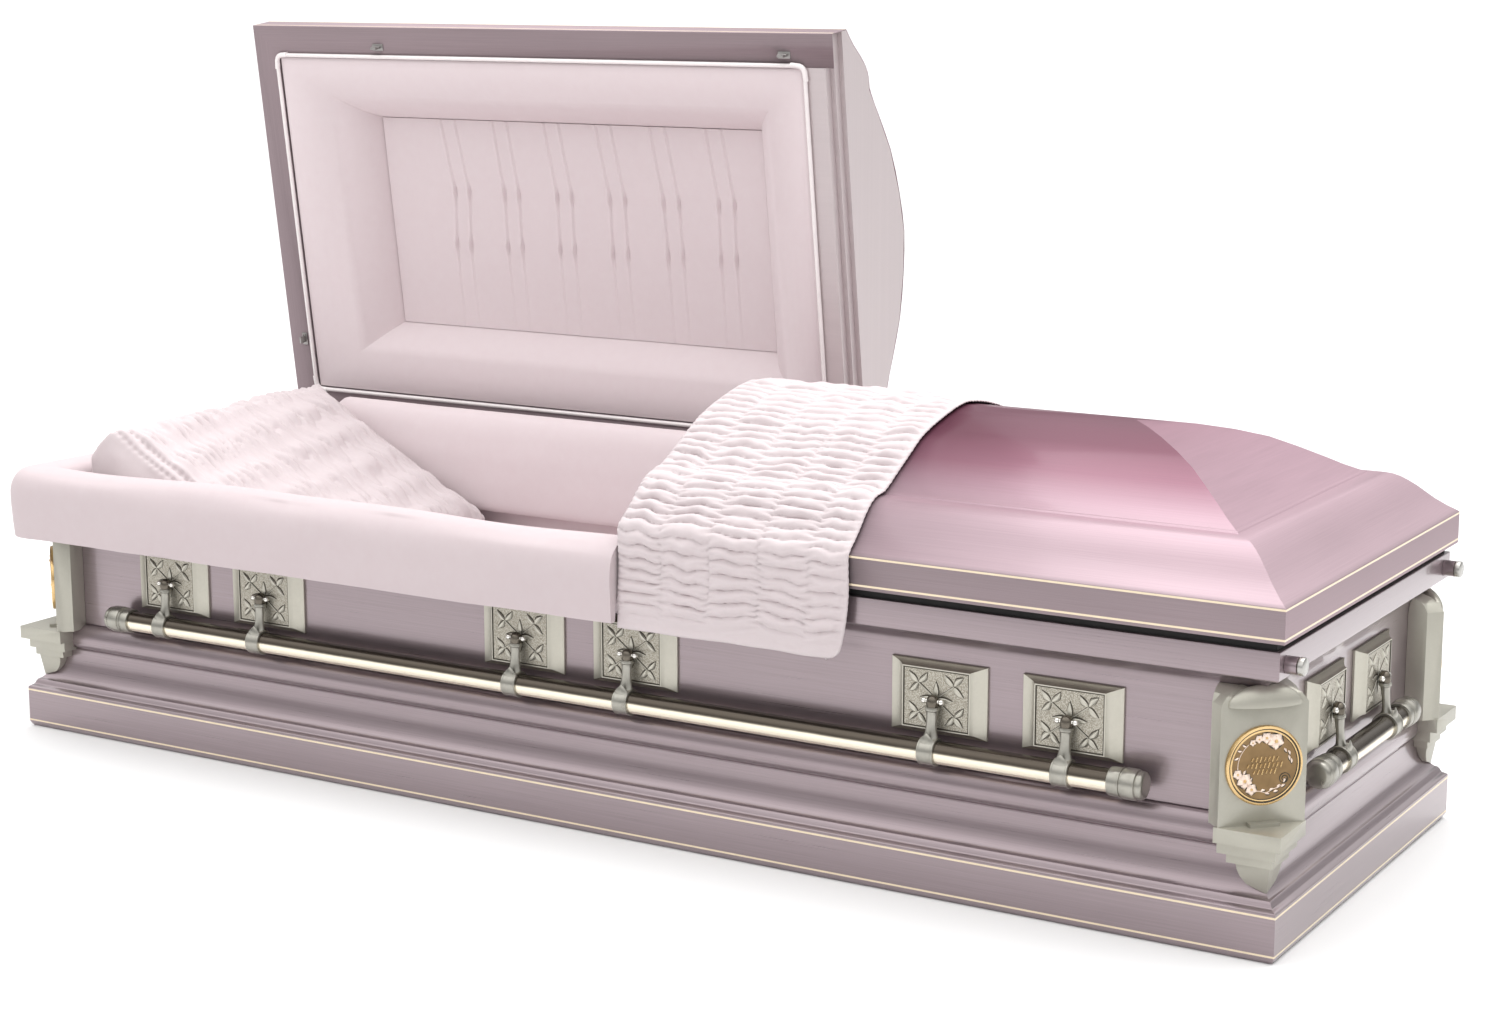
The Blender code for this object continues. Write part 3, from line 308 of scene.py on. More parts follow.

# %% [markdown]
# The ground of each lug plate is stippled, so its finish has small dark pits between
# bright grains.

# %% Stippled ground, bar with painted reflection, pinstripe, rubber and tube
def stippled(name):
    finish = Finish(name)
    place = finish.place()
    inputs = {"Vector": place, "Scale": 620.0, "Randomness": 1.0}
    cells = finish.add("ShaderNodeTexVoronoi", {}, inputs)
    pits = cells.above(0.42, 0.18)
    return finish.set(
        Base_Color=finish.blend(pits, (0.56, 0.53, 0.46), (0.30, 0.275, 0.225)),
        Metallic=0.7,
        Roughness=0.42,
        Normal=finish.bump(pits, -0.5, 0.0005),
    )


def bar_with_painted_reflection(name, level):
    """Champagne bar whose upper half is painted dark bronze: a painted reflection of the dark casket above
    it.
    """
    finish = Finish(name)
    place = finish.place()
    height = finish.add("ShaderNodeSeparateXYZ", {}, [place], output=2)
    cloud = finish.noise(place, 28.0, 3.0)
    # Painted reflection: above this level the bar is painted dark, where the polished bar reflects the dark
    # casket above it.
    upper = (height + cloud * 0.0016).above(level, 0.0022)
    return finish.set(
        Base_Color=finish.blend(upper, (0.90, 0.82, 0.67), (0.085, 0.07, 0.055)),
        Metallic=0.8,
        Roughness=cloud * 0.10 + 0.16,
        Normal=finish.bump(cloud, 0.03, 0.0005),
    )


def plain(name, color, rough, metal=0.0, coat=0.0, scale=90.0):
    finish = Finish(name)
    grain = finish.noise(finish.place(), scale, 3.0)
    shade = tuple(channel * 0.86 for channel in color)
    return finish.set(
        Base_Color=finish.blend(grain, shade, color),
        Metallic=metal,
        Roughness=grain * 0.12 + (rough - 0.06),
        Coat_Weight=coat,
        Normal=finish.bump(grain, 0.05, 0.0003),
    )


ground_finish = stippled("stippled_ground")
CAP_RADIUS = 0.0205
# The bar's dark upper half is a painted reflection.
bar_finish = bar_with_painted_reflection("bar_painted_reflection", low("handle_front").z + CAP_RADIUS + 0.0035)
stripe_finish = plain("pinstripe_cream", (0.86, 0.72, 0.52), 0.4, 0.1, 0.4)
rubber_finish = plain("gasket_black", (0.010, 0.009, 0.009), 0.75)
tube_finish = plain("white_tube", (0.90, 0.84, 0.835), 0.22, 0.0, 0.7)
pan_finish = plain("pan_primer", (0.30, 0.25, 0.25), 0.6)
print("small finishes ready")

# %% [markdown]
# ## Cloth finishes
#
# The lining is matt crepe with a very fine crinkle. The pillow and throw are a soft
# brushed velvet: a little sheen lifts their edges, and the gathers are real folds.

# %% Crepe and velvet
def cloth(name, color, crinkle, weave, sheen):
    finish = Finish(name)
    place = finish.place()
    soft = finish.noise(place, crinkle, 4.0, 0.6)
    fine = finish.noise(place, weave, 2.0)
    shade = tuple(channel * factor for channel, factor in zip(color, (0.96, 0.93, 0.935)))
    return finish.set(
        Base_Color=finish.blend(soft, shade, color),
        Roughness=0.9,
        Sheen_Weight=sheen,
        Sheen_Roughness=0.45,
        Specular_IOR_Level=0.2,
        Normal=finish.bump(soft * 0.5 + fine * 0.5, 0.12, 0.0005),
    )


crepe_finish = cloth("pink_crepe", (0.72, 0.635, 0.648), 60.0, 1400.0, 0.10)
# The skirt is the same crepe painted darker: painted shade on the apron's outer face, which is lit less than
# the lining inside the lid.
crepe_painted_shade_finish = cloth("pink_crepe_painted_shade", (0.57, 0.495, 0.507), 60.0, 1400.0, 0.10)
velvet_finish = cloth("pink_velvet", (0.61, 0.545, 0.553), 120.0, 1800.0, 0.16)
print("cloth ready")

# %% [markdown]
# ## Folded sheet
#
# A moulding is one sheet pressed to a profile and mitred at the corners. The profile
# is drawn once as a wire, extruded from station to station, and each station's mitre
# is set by how far its points move per metre of inset.

# %% Small helpers
def clamped(value):
    return min(max(value, 0.0), 1.0)


def outward(bm):
    bmesh.ops.recalc_face_normals(bm, faces=bm.faces)
    return bm


def capped(bm):
    """Close the open ends and face everything outward."""
    bmesh.ops.holes_fill(bm, edges=[edge for edge in bm.edges if edge.is_boundary])
    return outward(bm)


def solid_copy(node):
    """Merged copy of a frame solid, in the row's frame."""
    source = frame["nodes"][node]
    bm = bmesh.new()
    bm.from_mesh(source.data)
    bm.transform(source.matrix_world)
    bmesh.ops.remove_doubles(bm, verts=bm.verts, dist=0.0001)
    return outward(bm)


print("helpers ready")

# %% Profile curves
def curve(centre, radii, start, end, steps):
    """Ellipse points, 0 degrees at the bottom and 90 at the inner side."""
    points = []
    for step in range(steps + 1):
        angle = math.radians(start + (end - start) * step / steps)
        points.append((centre[0] + radii[0] * math.sin(angle), centre[1] - radii[1] * math.cos(angle)))
    return points


def softened(points, radius=0.0012, steps=3):
    """Round the sharp bends of a profile, as a press brake does."""
    done = [points[0]]
    for before, corner, after in zip(points, points[1:], points[2:]):
        a = Vector(before) - Vector(corner)
        b = Vector(after) - Vector(corner)
        turn = math.pi - a.angle(b)
        reach = min(radius, a.length * 0.45, b.length * 0.45)
        if turn < math.radians(14):
            done.append(corner)
            continue
        start = Vector(corner) + a.normalized() * reach
        end = Vector(corner) + b.normalized() * reach
        for step in range(steps + 1):
            share = step / steps
            first = start.lerp(Vector(corner), share)
            second = Vector(corner).lerp(end, share)
            done.append(tuple(first.lerp(second, share)))
    done.append(points[-1])
    return done


print("profile helpers ready")

# %% A sheet from a profile and its stations
def put(name, bm, finishes, body, replaced, angle=40):
    """Make the finished object, ride it on its body and hide the solids it replaces."""
    mesh = bpy.data.meshes.new(name)
    bm.to_mesh(mesh)
    bm.free()
    for finish in finishes if isinstance(finishes, list) else [finishes]:
        mesh.materials.append(finish)
    mesh.shade_smooth()
    mesh.set_sharp_from_angle(angle=math.radians(angle))
    piece = bpy.data.objects.new(name, mesh)
    bpy.context.collection.objects.link(piece)
    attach(piece, body)
    if replaced:
        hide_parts(*replaced)
    return piece


def lay(verts, profile, station):
    """Set a row of points at a station: its place, and how far it moves per metre of inset."""
    (x, y), (dx, dy) = station
    for vert, (inset, z) in zip(verts, profile):
        vert.co = (x + dx * inset, y + dy * inset, z)


def sheet_mesh(profile, stations, closed=False, painted_light_from=9.0):
    """Extrude the profile wire along the stations; v is the way along the profile.

    On the runs across the ends v slows down past the given way, which keeps those facets pale: painted light,
    as the end facets are lit more than the sides.
    """
    bm = bmesh.new()
    across = bm.verts.layers.float.new("across")
    side = bm.faces.layers.int.new("side")
    travelled = 0.0
    wire = []
    previous = None
    for inset, z in profile:
        vert = bm.verts.new((inset, 0, z))
        if previous is not None:
            travelled += math.dist(previous, (inset, z))
        vert[across] = travelled
        previous = (inset, z)
        wire.append(vert)
    edges = [bm.edges.new(pair) for pair in zip(wire, wire[1:])]
    lay(wire, profile, stations[0])
    todo = list(stations[1:]) + ([stations[0]] if closed else [])
    for number, station in enumerate(todo):
        made = bmesh.ops.extrude_edge_only(bm, edges=edges)["geom"]
        fresh = [item for item in made if isinstance(item, bmesh.types.BMVert)]
        for face in (item for item in made if isinstance(item, bmesh.types.BMFace)):
            face[side] = number
        order = sorted(fresh, key=lambda vert: vert[across])
        lay(order, profile, station)
        edges = [item for item in made if isinstance(item, bmesh.types.BMEdge)]
        edges = [edge for edge in edges if all(vert in fresh for vert in edge.verts)]
    bmesh.ops.remove_doubles(bm, verts=bm.verts, dist=0.00001)
    uv = bm.loops.layers.uv.new("sheet")
    for face in bm.faces:
        lengthwise = run_is_lengthwise(todo, stations, face[side])
        for loop in face.loops:
            along = loop.vert.co.x if lengthwise else loop.vert.co.y
            way = loop.vert[across]
            if not lengthwise and way > painted_light_from:
                way = painted_light_from + (way - painted_light_from) * 0.25
            loop[uv].uv = (along + 7 * lengthwise, way)
    return bm


def run_is_lengthwise(todo, stations, number):
    """True if the run between two stations goes along x."""
    start = stations[0] if number == 0 else todo[number - 1]
    end = todo[number]
    return abs(end[0][0] - start[0][0]) > abs(end[0][1] - start[0][1])


def thicken(piece):
    """Real sheet thickness, inward from the drawn face."""
    wall = piece.modifiers.new("wall", "SOLIDIFY")
    wall.thickness = SHEET
    wall.offset = -1.0
    wall.use_even_offset = True


def ring_stations(half_length, half_width, reach=0.075):
    """Mitred corners, anticlockwise seen from above, with a square station each side of them."""
    stations = []
    for x, y in ((-1, -1), (1, -1), (1, 1), (-1, 1)):
        along = ((x * half_length, y * (half_width - reach)), (-x, 0))
        across = ((x * (half_length - reach), y * half_width), (0, -y))
        corner = ((x * half_length, y * half_width), (-x, -y))
        stations += [along, corner, across] if x * y > 0 else [across, corner, along]
    return stations


TUCKED_INSET = 0.0372


def tuck_corners(bm, lowest, highest):
    """Draw the mitre behind the corner castings between two levels."""
    for vert in bm.verts:
        x, y = HALF_LENGTH - abs(vert.co.x), HALF_WIDTH - abs(vert.co.y)
        if abs(x - y) < 0.0002 and x < TUCKED_INSET and lowest < vert.co.z < highest:
            vert.co.x = math.copysign(HALF_LENGTH - TUCKED_INSET, vert.co.x)
            vert.co.y = math.copysign(HALF_WIDTH - TUCKED_INSET, vert.co.y)
    return bm


def casket_ring(profile):
    """A profile wrapped round the whole casket."""
    return sheet_mesh(profile, ring_stations(HALF_LENGTH, HALF_WIDTH), closed=True)


print("sheet helpers ready")

# %% [markdown]
# ## Base moulding
#
# A flat band, a stepped lip, a deep cove, a fine groove and a round bead, all in one
# pressing. It replaces the four plain lengths of the frame.

# %% Base moulding
BAND = 0.0655
COVE_BOTTOM = BAND + 0.0121
COVE_TOP = COVE_BOTTOM + 0.0505
BEAD_BOTTOM = COVE_TOP + 0.022


def moulding_profile():
    bead_height = MOULDING_TOP - BEAD_BOTTOM
    points = [(0.020, 0.0), (0.004, 0.0), (0.0, 0.007), (0.0, BAND)]
    points += [(0.0045, BAND + 0.0027), (0.0075, BAND + 0.0043), (0.0095, BAND + 0.009)]
    points += curve((0.0095, COVE_TOP), (0.022, 0.0505), 6, 90, 14)
    points += [(0.0315, COVE_TOP + 0.004), (0.0345, COVE_TOP + 0.006), (0.0265, COVE_TOP + 0.0095)]
    points += [(0.0235, COVE_TOP + 0.0145)]
    points += curve((PANEL_INSET, BEAD_BOTTOM), (0.0175, bead_height), 270, 180, 12)
    points += [(0.052, MOULDING_TOP)]
    return softened(points, 0.0016)


SIDES = ("front", "foot", "back", "head")
moulding = put(
    "base_moulding",
    tuck_corners(casket_ring(moulding_profile()), 0.158, 0.2),
    shell_finish, "casket_body", [f"base_moulding_{side}" for side in SIDES],
)
thicken(moulding)
print("base moulding", len(moulding.data.polygons), "faces")

# %% [markdown]
# ## Body panels
#
# The panels are one wrap of sheet: a flat field, a cove that flares out under the rim,
# and a rim turned in flat for the gasket. Three slots in the rim take the head lid's
# catches. They are cut with planes in the flat face before it gets its thickness.

# %% Body panels
FLAT_TOP = PANEL_BOTTOM + 0.1476
COVE_RIM = FLAT_TOP + 0.0367


def panel_profile():
    points = [(0.052, PANEL_BOTTOM), (PANEL_INSET, PANEL_BOTTOM)]
    points += curve((0.0135, FLAT_TOP), (PANEL_INSET - 0.0135, 0.0367), 90, 180, 12)
    points += [(0.010, COVE_RIM + 0.0025), (0.010, BODY_TOP), (0.050, BODY_TOP)]
    return softened(points, 0.0014)


print("panel profile has", len(panel_profile()), "points")

# %% Slots for the catches
SLOT_CLEARANCE = 0.001


def spread(verts):
    """Plan box of some points: left, right, front, back."""
    xs = [vert.co.x for vert in verts]
    ys = [vert.co.y for vert in verts]
    return min(xs), max(xs), min(ys), max(ys)


def catch_slot(node):
    """Plan box of a catch's slot, with the head lid closed."""
    bm = solid_copy(node)
    bm.transform(OPEN.inverted())
    left, right, front, back = spread(bm.verts)
    bm.free()
    return left - SLOT_CLEARANCE, right + SLOT_CLEARANCE, front - SLOT_CLEARANCE, back + SLOT_CLEARANCE


def rim_faces(bm, left, right, front, back):
    """Faces of the flat rim that reach into a plan box."""
    found = []
    for face in bm.faces:
        face_left, face_right, face_front, face_back = spread(face.verts)
        flat = all(abs(vert.co.z - BODY_TOP) < 0.00005 for vert in face.verts)
        if flat and face_left < right and face_right > left and face_front < back and face_back > front:
            found.append(face)
    return found


def slotted(bm):
    """Open the rim where the catches of the head lid drop through it."""
    for node in ("lid_catch_head", "lid_catch_split", "lid_catch_end"):
        box = catch_slot(node)
        for level, way in zip(box, ("X", "X", "Y", "Y")):
            faces = rim_faces(bm, *box)
            edges = {edge for face in faces for edge in face.edges}
            verts = {vert for face in faces for vert in face.verts}
            normal = Vector((way == "X", way == "Y", 0))
            bmesh.ops.bisect_plane(
                bm, geom=[*faces, *edges, *verts], dist=0.000001, plane_co=normal * level, plane_no=normal,
            )
        middle = Vector(((box[0] + box[1]) / 2, (box[2] + box[3]) / 2))
        found = rim_faces(bm, *box)
        inside = [face for face in found if (face.calc_center_median().xy - middle).length < 0.001]
        print(node, "slot", [round(value, 4) for value in box], len(inside), "face taken out")
        bmesh.ops.delete(bm, geom=inside, context="FACES")
    return bm


panels = put(
    "body_panels",
    slotted(tuck_corners(casket_ring(panel_profile()), 0.3, 0.3445)),
    shell_finish, "casket_body", [f"body_panel_{side}" for side in SIDES],
)
thicken(panels)
print("body panels", len(panels.data.polygons), "faces")

# %% [markdown]
# ## Pinstripes
#
# Cream lines are painted with a striping wheel, a hair thicker than the paint. Each is
# a very thin band of its own, so that it stays crisp at any distance.

# %% Pinstripes
STRIPE_PROUD = 0.0002


def stripe_profile(level, width):
    low_edge, high_edge = level - width / 2, level + width / 2
    return [(0.0006, low_edge), (-STRIPE_PROUD, low_edge), (-STRIPE_PROUD, high_edge), (0.0006, high_edge)]


def lid_stations(split, end):
    """Stations from the split round the lid's own end and back to the split."""
    toward = 1 if end < split else -1
    return [
        ((split, -LID_SIDE), (0, 1)),
        ((end, -LID_SIDE), (toward, 1)),
        ((end, LID_SIDE), (toward, -1)),
        ((split, LID_SIDE), (0, -1)),
    ]


for level, width in ((0.0102, 0.0025), (0.0608, 0.0028)):
    bm = casket_ring(stripe_profile(level, width))
    name = f"pinstripe_base_{round(level * 1000)}"
    put(name, outward(bm), stripe_finish, "casket_body", ())
print("base pinstripes drawn")

# %% [markdown]
# ## Lids
#
# Each lid is a low vault with hipped corners: a plain band, a concave shoulder, a fine
# bead and a long crown. The head lid is drawn closed, then swung open about its hinge,
# so its mesh lies where its solid does.

# %% Lid profile
def lid_profile():
    band = LID_BOTTOM + 0.0458
    shoulder = band + 0.0637
    points = [(0.053, LID_BOTTOM), (0.0, LID_BOTTOM), (0.0, band)]
    points += [(0.0065, band + 0.0048), (0.0139, band + 0.0097), (0.0281, band + 0.0212)]
    points += [(0.0380, band + 0.0308), (0.0475, band + 0.0402), (0.0575, band + 0.0488)]
    points += [(0.0670, band + 0.0558), (0.0760, band + 0.0604), (0.0850, shoulder - 0.0008)]
    points += [(0.0950, shoulder), (0.1030, shoulder + 0.0002), (0.1052, shoulder + 0.0022)]
    points += [(0.1085, shoulder + 0.0028)]
    crown = LID_TOP - shoulder
    for share, rise in ((0.10, 0.15), (0.18, 0.28), (0.30, 0.465), (0.43, 0.65), (0.58, 0.79),
                        (0.74, 0.90), (0.87, 0.965), (1.0, 1.0)):
        points.append((0.105 + (LID_SIDE - 0.105) * share, shoulder + crown * rise))
    return softened(points, 0.0014)


def lid_piece(name, split, end, swing):
    # The end facets keep a paler tone past 0.23 m of the profile: painted light, as they are lit more than
    # the sides.
    bm = outward(sheet_mesh(lid_profile(), lid_stations(split, end), painted_light_from=0.23))
    bm.transform(swing)
    return put(name, bm, lid_finish, name, [f"{name}_shell"], 13)


def facing_up(piece, upward):
    """True if most of the mesh faces the given way."""
    total = sum(face.normal.dot(upward) * face.area for face in piece.data.polygons)
    return total > 0


CLOSED = Matrix.Identity(4)
LIDS = (("foot_lid", FOOT_LID_START, LID_END, CLOSED), ("head_lid", HEAD_LID_END, -LID_END, OPEN))
for name, split, end, swing in LIDS:
    shell = lid_piece(name, split, end, swing)
    if not facing_up(shell, swing.to_3x3() @ Vector((0, 0, 1))):
        shell.data.flip_normals()
    thicken(shell)
    print(name, len(shell.data.polygons), "faces")

# %% Lid pinstripes
for body, split, end, swing in LIDS:
    for level in (LID_BOTTOM + 0.0061, LID_BOTTOM + 0.0438):
        bm = outward(sheet_mesh(stripe_profile(level, 0.0027), lid_stations(split, end)))
        bm.transform(swing)
        put(f"pinstripe_{body}_{round(level * 1000)}", bm, stripe_finish, body, ())
print("lid pinstripes drawn")

# %% [markdown]
# ## Building blocks for castings
#
# Small castings are assembled from stepped blocks, turned profiles and round tubes,
# then joined in one mesh whose faces carry the number of their finish.

# %% Blocks, turnings, tubes
def gather(target, source, slot, place=None):
    """Move one mesh into another, at its place and with its finish; None keeps its own."""
    if place is not None:
        source.transform(place)
    for face in source.faces:
        face.material_index = face.material_index if slot is None else slot
    carrier = bpy.data.meshes.new("carrier")
    source.to_mesh(carrier)
    source.free()
    target.from_mesh(carrier)
    bpy.data.meshes.remove(carrier)


def turned(profile, sides, axis):
    """Solid of revolution about an axis from (radius, height) points."""
    bm = bmesh.new()
    verts = [bm.verts.new((radius, 0, z)) for radius, z in profile]
    edges = [bm.edges.new(pair) for pair in zip(verts, verts[1:])]
    bmesh.ops.spin(
        bm, geom=verts + edges, axis=(0, 0, 1), cent=(0, 0, 0), steps=sides, angle=math.tau, use_merge=True
    )
    bmesh.ops.remove_doubles(bm, verts=bm.verts, dist=0.000005)
    outward(bm)
    if axis == "X":
        bm.transform(Matrix.Rotation(math.pi / 2, 4, "Y"))
    if axis == "-Y":
        bm.transform(Matrix.Rotation(math.pi / 2, 4, "X"))
    return bm


def rod(radius, half, sides, axis):
    """Straight round rod, centred on the origin."""
    return turned([(0.0, -half), (radius, -half), (radius, half), (0.0, half)], sides, axis)


def stepped(levels):
    """Plate facing -Y, extruded through (width, height, depth) levels from its back."""
    bm = bmesh.new()
    bmesh.ops.create_grid(bm, x_segments=1, y_segments=1, size=0.5)
    bm.transform(Matrix.Rotation(math.pi / 2, 4, "X"))
    front = bm.faces[:]
    for number, (width, height, depth) in enumerate(levels):
        if number:
            made = bmesh.ops.extrude_face_region(bm, geom=front)["geom"]
            bmesh.ops.delete(bm, geom=front, context="FACES_ONLY")
            front = [item for item in made if isinstance(item, bmesh.types.BMFace)]
        for vert in front[0].verts:
            vert.co = (math.copysign(width / 2, vert.co.x), -depth, math.copysign(height / 2, vert.co.z))
    return capped(bm)


def tube(points, radius, sides=2, closed=False):
    """Round bar along a line of points."""
    line = bpy.data.curves.new("line", "CURVE")
    line.dimensions = "3D"
    line.bevel_depth = radius
    line.bevel_resolution = sides
    line.use_fill_caps = True
    spline = line.splines.new("POLY")
    spline.points.add(len(points) - 1)
    for point, place in zip(spline.points, points):
        point.co = (*place, 1.0)
    spline.use_cyclic_u = closed
    carrier = bpy.data.objects.new("line", line)
    mesh = bpy.data.meshes.new_from_object(carrier)
    bm = bmesh.new()
    bm.from_mesh(mesh)
    bmesh.ops.remove_doubles(bm, verts=bm.verts, dist=0.000005)
    bpy.data.objects.remove(carrier)
    bpy.data.curves.remove(line)
    bpy.data.meshes.remove(mesh)
    return outward(bm)


def leaf(length, width, height, bend=0.0, crease=0.25):
    """Pointed leaf on the plane y = 0, growing along +X from the origin and facing -Y."""
    bm = bmesh.new()
    bmesh.ops.create_grid(bm, x_segments=8, y_segments=4, size=0.5)
    for vert in bm.verts:
        along = vert.co.x + 0.5
        side = vert.co.y * 2
        outline = math.sin(math.pi * min(along ** 0.85, 1.0))
        lift = height * outline ** 0.6 * (1 - side * side) * (1 - crease * math.exp(-((side / 0.3) ** 2)))
        sway = bend * math.sin(math.pi * along)
        vert.co = (along * length, -lift, side * width / 2 * outline + sway)
    bmesh.ops.remove_doubles(bm, verts=bm.verts, dist=0.00005)
    outward(bm)
    if sum(face.normal.y for face in bm.faces) > 0:
        bmesh.ops.reverse_faces(bm, faces=bm.faces)
    return bm


SIDE_TURNS = {"front": 0, "foot": 90, "back": 180, "head": -90}


def side_matrix(side):
    """A side's own frame: x along it and y inward from the base edge."""
    turn = Matrix.Rotation(math.radians(SIDE_TURNS[side]), 4, "Z")
    depth = HALF_WIDTH if side in ("front", "back") else HALF_LENGTH
    return turn @ Matrix.Translation((0, -depth, 0))


def lugs_on(side):
    return sorted(node for node in frame["nodes"] if node.startswith(f"lug_plate_{side}_"))


def along_side(side, node):
    """Where a node's centre stands along its side."""
    centre = (low(node) + high(node)) / 2
    return (side_matrix(side).inverted() @ centre).x


print("casting tools ready")

# %% [markdown]
# ## Lug plates
#
# Sixteen copies of one casting: a coved border, a bright frame line, and a stippled
# field with four leaf sprays and a small star. A dark copy lies under every leaf and stem,
# offset to one side: antique dark at its edge and painted shadow. The up- and down-facing
# faces of the border are painted dark: a painted reflection of the cove above and painted shade below.

# %% One lug plate
LUG_WIDTH, LUG_HEIGHT, LUG_DEPTH = 0.142, 0.100, 0.0138
FIELD_WIDTH, FIELD_HEIGHT = 0.1005, 0.084
FIELD_DEPTH = LUG_DEPTH - 0.0009


def border_levels():
    levels = [(LUG_WIDTH, LUG_HEIGHT, 0.0), (LUG_WIDTH, LUG_HEIGHT, 0.0030)]
    levels.append((LUG_WIDTH - 0.0012, LUG_HEIGHT - 0.0010, 0.0036))
    for step in range(1, 9):
        share = step / 8
        cove = 1 - math.sqrt(max(1 - share * share, 0.0))
        mixed = 0.45 * share + 0.55 * cove
        levels.append((
            LUG_WIDTH - 0.0012 + (FIELD_WIDTH + 0.0012 - LUG_WIDTH) * share,
            LUG_HEIGHT - 0.0010 + (FIELD_HEIGHT + 0.0010 - LUG_HEIGHT) * share,
            0.0036 + (LUG_DEPTH - 0.0036) * mixed,
        ))
    return levels


QUARTERS = ((-1, -1), (-1, 1), (1, -1), (1, 1))
SPRAY_X, SPRAY_Z = 0.0265, 0.0205


def sprays():
    """Leaves of the field: place, direction in degrees, length, width and bend."""
    found = []
    for right, up in QUARTERS:
        heart = Vector((right * SPRAY_X, up * SPRAY_Z))
        away = math.degrees(math.atan2(up, right))
        for turn, bend in ((0, 0.0016), (88, 0.0022), (-88, -0.0022)):
            found.append((heart, away + turn, 0.0195, 0.0085, bend * up))
    for quarter in range(4):
        found.append((Vector((0, 0)), quarter * 90, 0.0245, 0.0080, 0.0))
    return found


def lug_mesh():
    bm = stepped(border_levels() + [
        (FIELD_WIDTH - 0.0004, FIELD_HEIGHT - 0.0004, LUG_DEPTH + 0.0002),
        (FIELD_WIDTH - 0.0032, FIELD_HEIGHT - 0.0032, LUG_DEPTH + 0.0002),
        (FIELD_WIDTH - 0.0042, FIELD_HEIGHT - 0.0042, FIELD_DEPTH),
        (FIELD_WIDTH - 0.0068, FIELD_HEIGHT - 0.0068, FIELD_DEPTH),
    ])
    for face in bm.faces:
        centre = face.calc_center_median()
        inner = abs(centre.x) < FIELD_WIDTH / 2 - 0.001 and abs(centre.z) < FIELD_HEIGHT / 2 - 0.001
        if inner and centre.y < -0.010:
            face.material_index = 1 if face.calc_area() > 0.001 else 2
        # Up- and down-facing faces of the border take the dark bronze: painted reflection of the cove above
        # on top, painted shade underneath.
        elif abs(face.normal.z) > 0.25 and not inner and centre.y > -LUG_DEPTH:
            face.material_index = 3
    for heart, degrees, length, width, bend in sprays():
        turn = Matrix.Rotation(math.radians(-degrees), 4, "Y")
        spot = Matrix.Translation((heart.x, -FIELD_DEPTH, heart.y))
        # Flat dark copy of the leaf, a little larger and offset to one side: antique dark at its edge and
        # painted shadow of the leaf.
        shade = Matrix.Translation((0.0005, 0.0, 0.0009))
        gather(bm, leaf(length * 1.03, width * 1.16, 0.0007, bend, 0.0), 2, spot @ shade @ turn)
        height = 0.0026 if heart.length > 0 else 0.0016
        gather(bm, leaf(length, width * 0.98, height, bend, 0.45), 0, spot @ turn)
    for right, up in QUARTERS:
        heart = Vector((right * SPRAY_X, -FIELD_DEPTH - 0.0002, up * SPRAY_Z))
        foot = Vector((right * 0.006, -FIELD_DEPTH - 0.0002, up * 0.005))
        gather(bm, tube([foot, heart], 0.0010), 0)
        # Dark copy of the stem, offset to one side: painted shadow of the stem.
        stem_shadow_offset = Vector((0.0004, 0.0005, 0.0011))
        gather(bm, tube([foot + stem_shadow_offset, heart + stem_shadow_offset], 0.0010), 2)
    return bm


lug_finishes = [casting_finish, ground_finish, recess_and_shadow_finish, bevel_reflection_and_shade_finish]
lug_count = 0
for side in SIDE_TURNS:
    for node in lugs_on(side):
        bm = lug_mesh()
        spot = Matrix.Translation((along_side(side, node), PANEL_INSET - 0.0003, LUG_CENTRE))
        bm.transform(side_matrix(side) @ spot)
        put(node.replace("plate", "casting"), bm, lug_finishes, "casket_body", [node], 30)
        lug_count += 1
print("lug plates", lug_count)

# %% [markdown]
# ## Handles
#
# A handle is a turned bar with ringed caps, a collar at every arm, and cast arms whose
# round heads hang on short ball-ended pins. It is modelled about its swing axis.

# %% Handle parts
AXIS_INSET, BAR_INSET, BAR_DROP = 0.0175, 0.011, 0.0667
BAR_RADIUS = 0.0155
BAR_SHIFT = BAR_INSET - AXIS_INSET


def cap_profile(half):
    """End cap: a rounded nose, a groove, the wide body, a ring and a sleeve."""
    steps = [
        (0.0, 0.0), (0.0125, 0.0), (0.0160, 0.0009), (0.0180, 0.0028), (0.0186, 0.0050), (0.0186, 0.0080),
        (0.0176, 0.0088), (0.0178, 0.0096), (0.0198, 0.0108), (CAP_RADIUS, 0.0128), (CAP_RADIUS, 0.0275),
        (0.0198, 0.0292), (0.0184, 0.0300), (0.0186, 0.0310), (0.0200, 0.0317), (0.0200, 0.0332),
        (0.0186, 0.0340), (0.0188, 0.0352), (0.0192, 0.0375), (0.0190, 0.0470), (0.0184, 0.0485),
        (0.0154, 0.0490),
    ]
    return [(radius, -half + step) for radius, step in steps]


COLLAR = (
    (0.0152, -0.0120), (0.0180, -0.0120), (0.0190, -0.0113), (0.0190, -0.0096), (0.0182, -0.0088),
    (0.0180, -0.0060), (0.0184, 0.0), (0.0180, 0.0060), (0.0182, 0.0088), (0.0190, 0.0096),
    (0.0190, 0.0113), (0.0180, 0.0120), (0.0152, 0.0120), (0.0152, -0.0120),
)

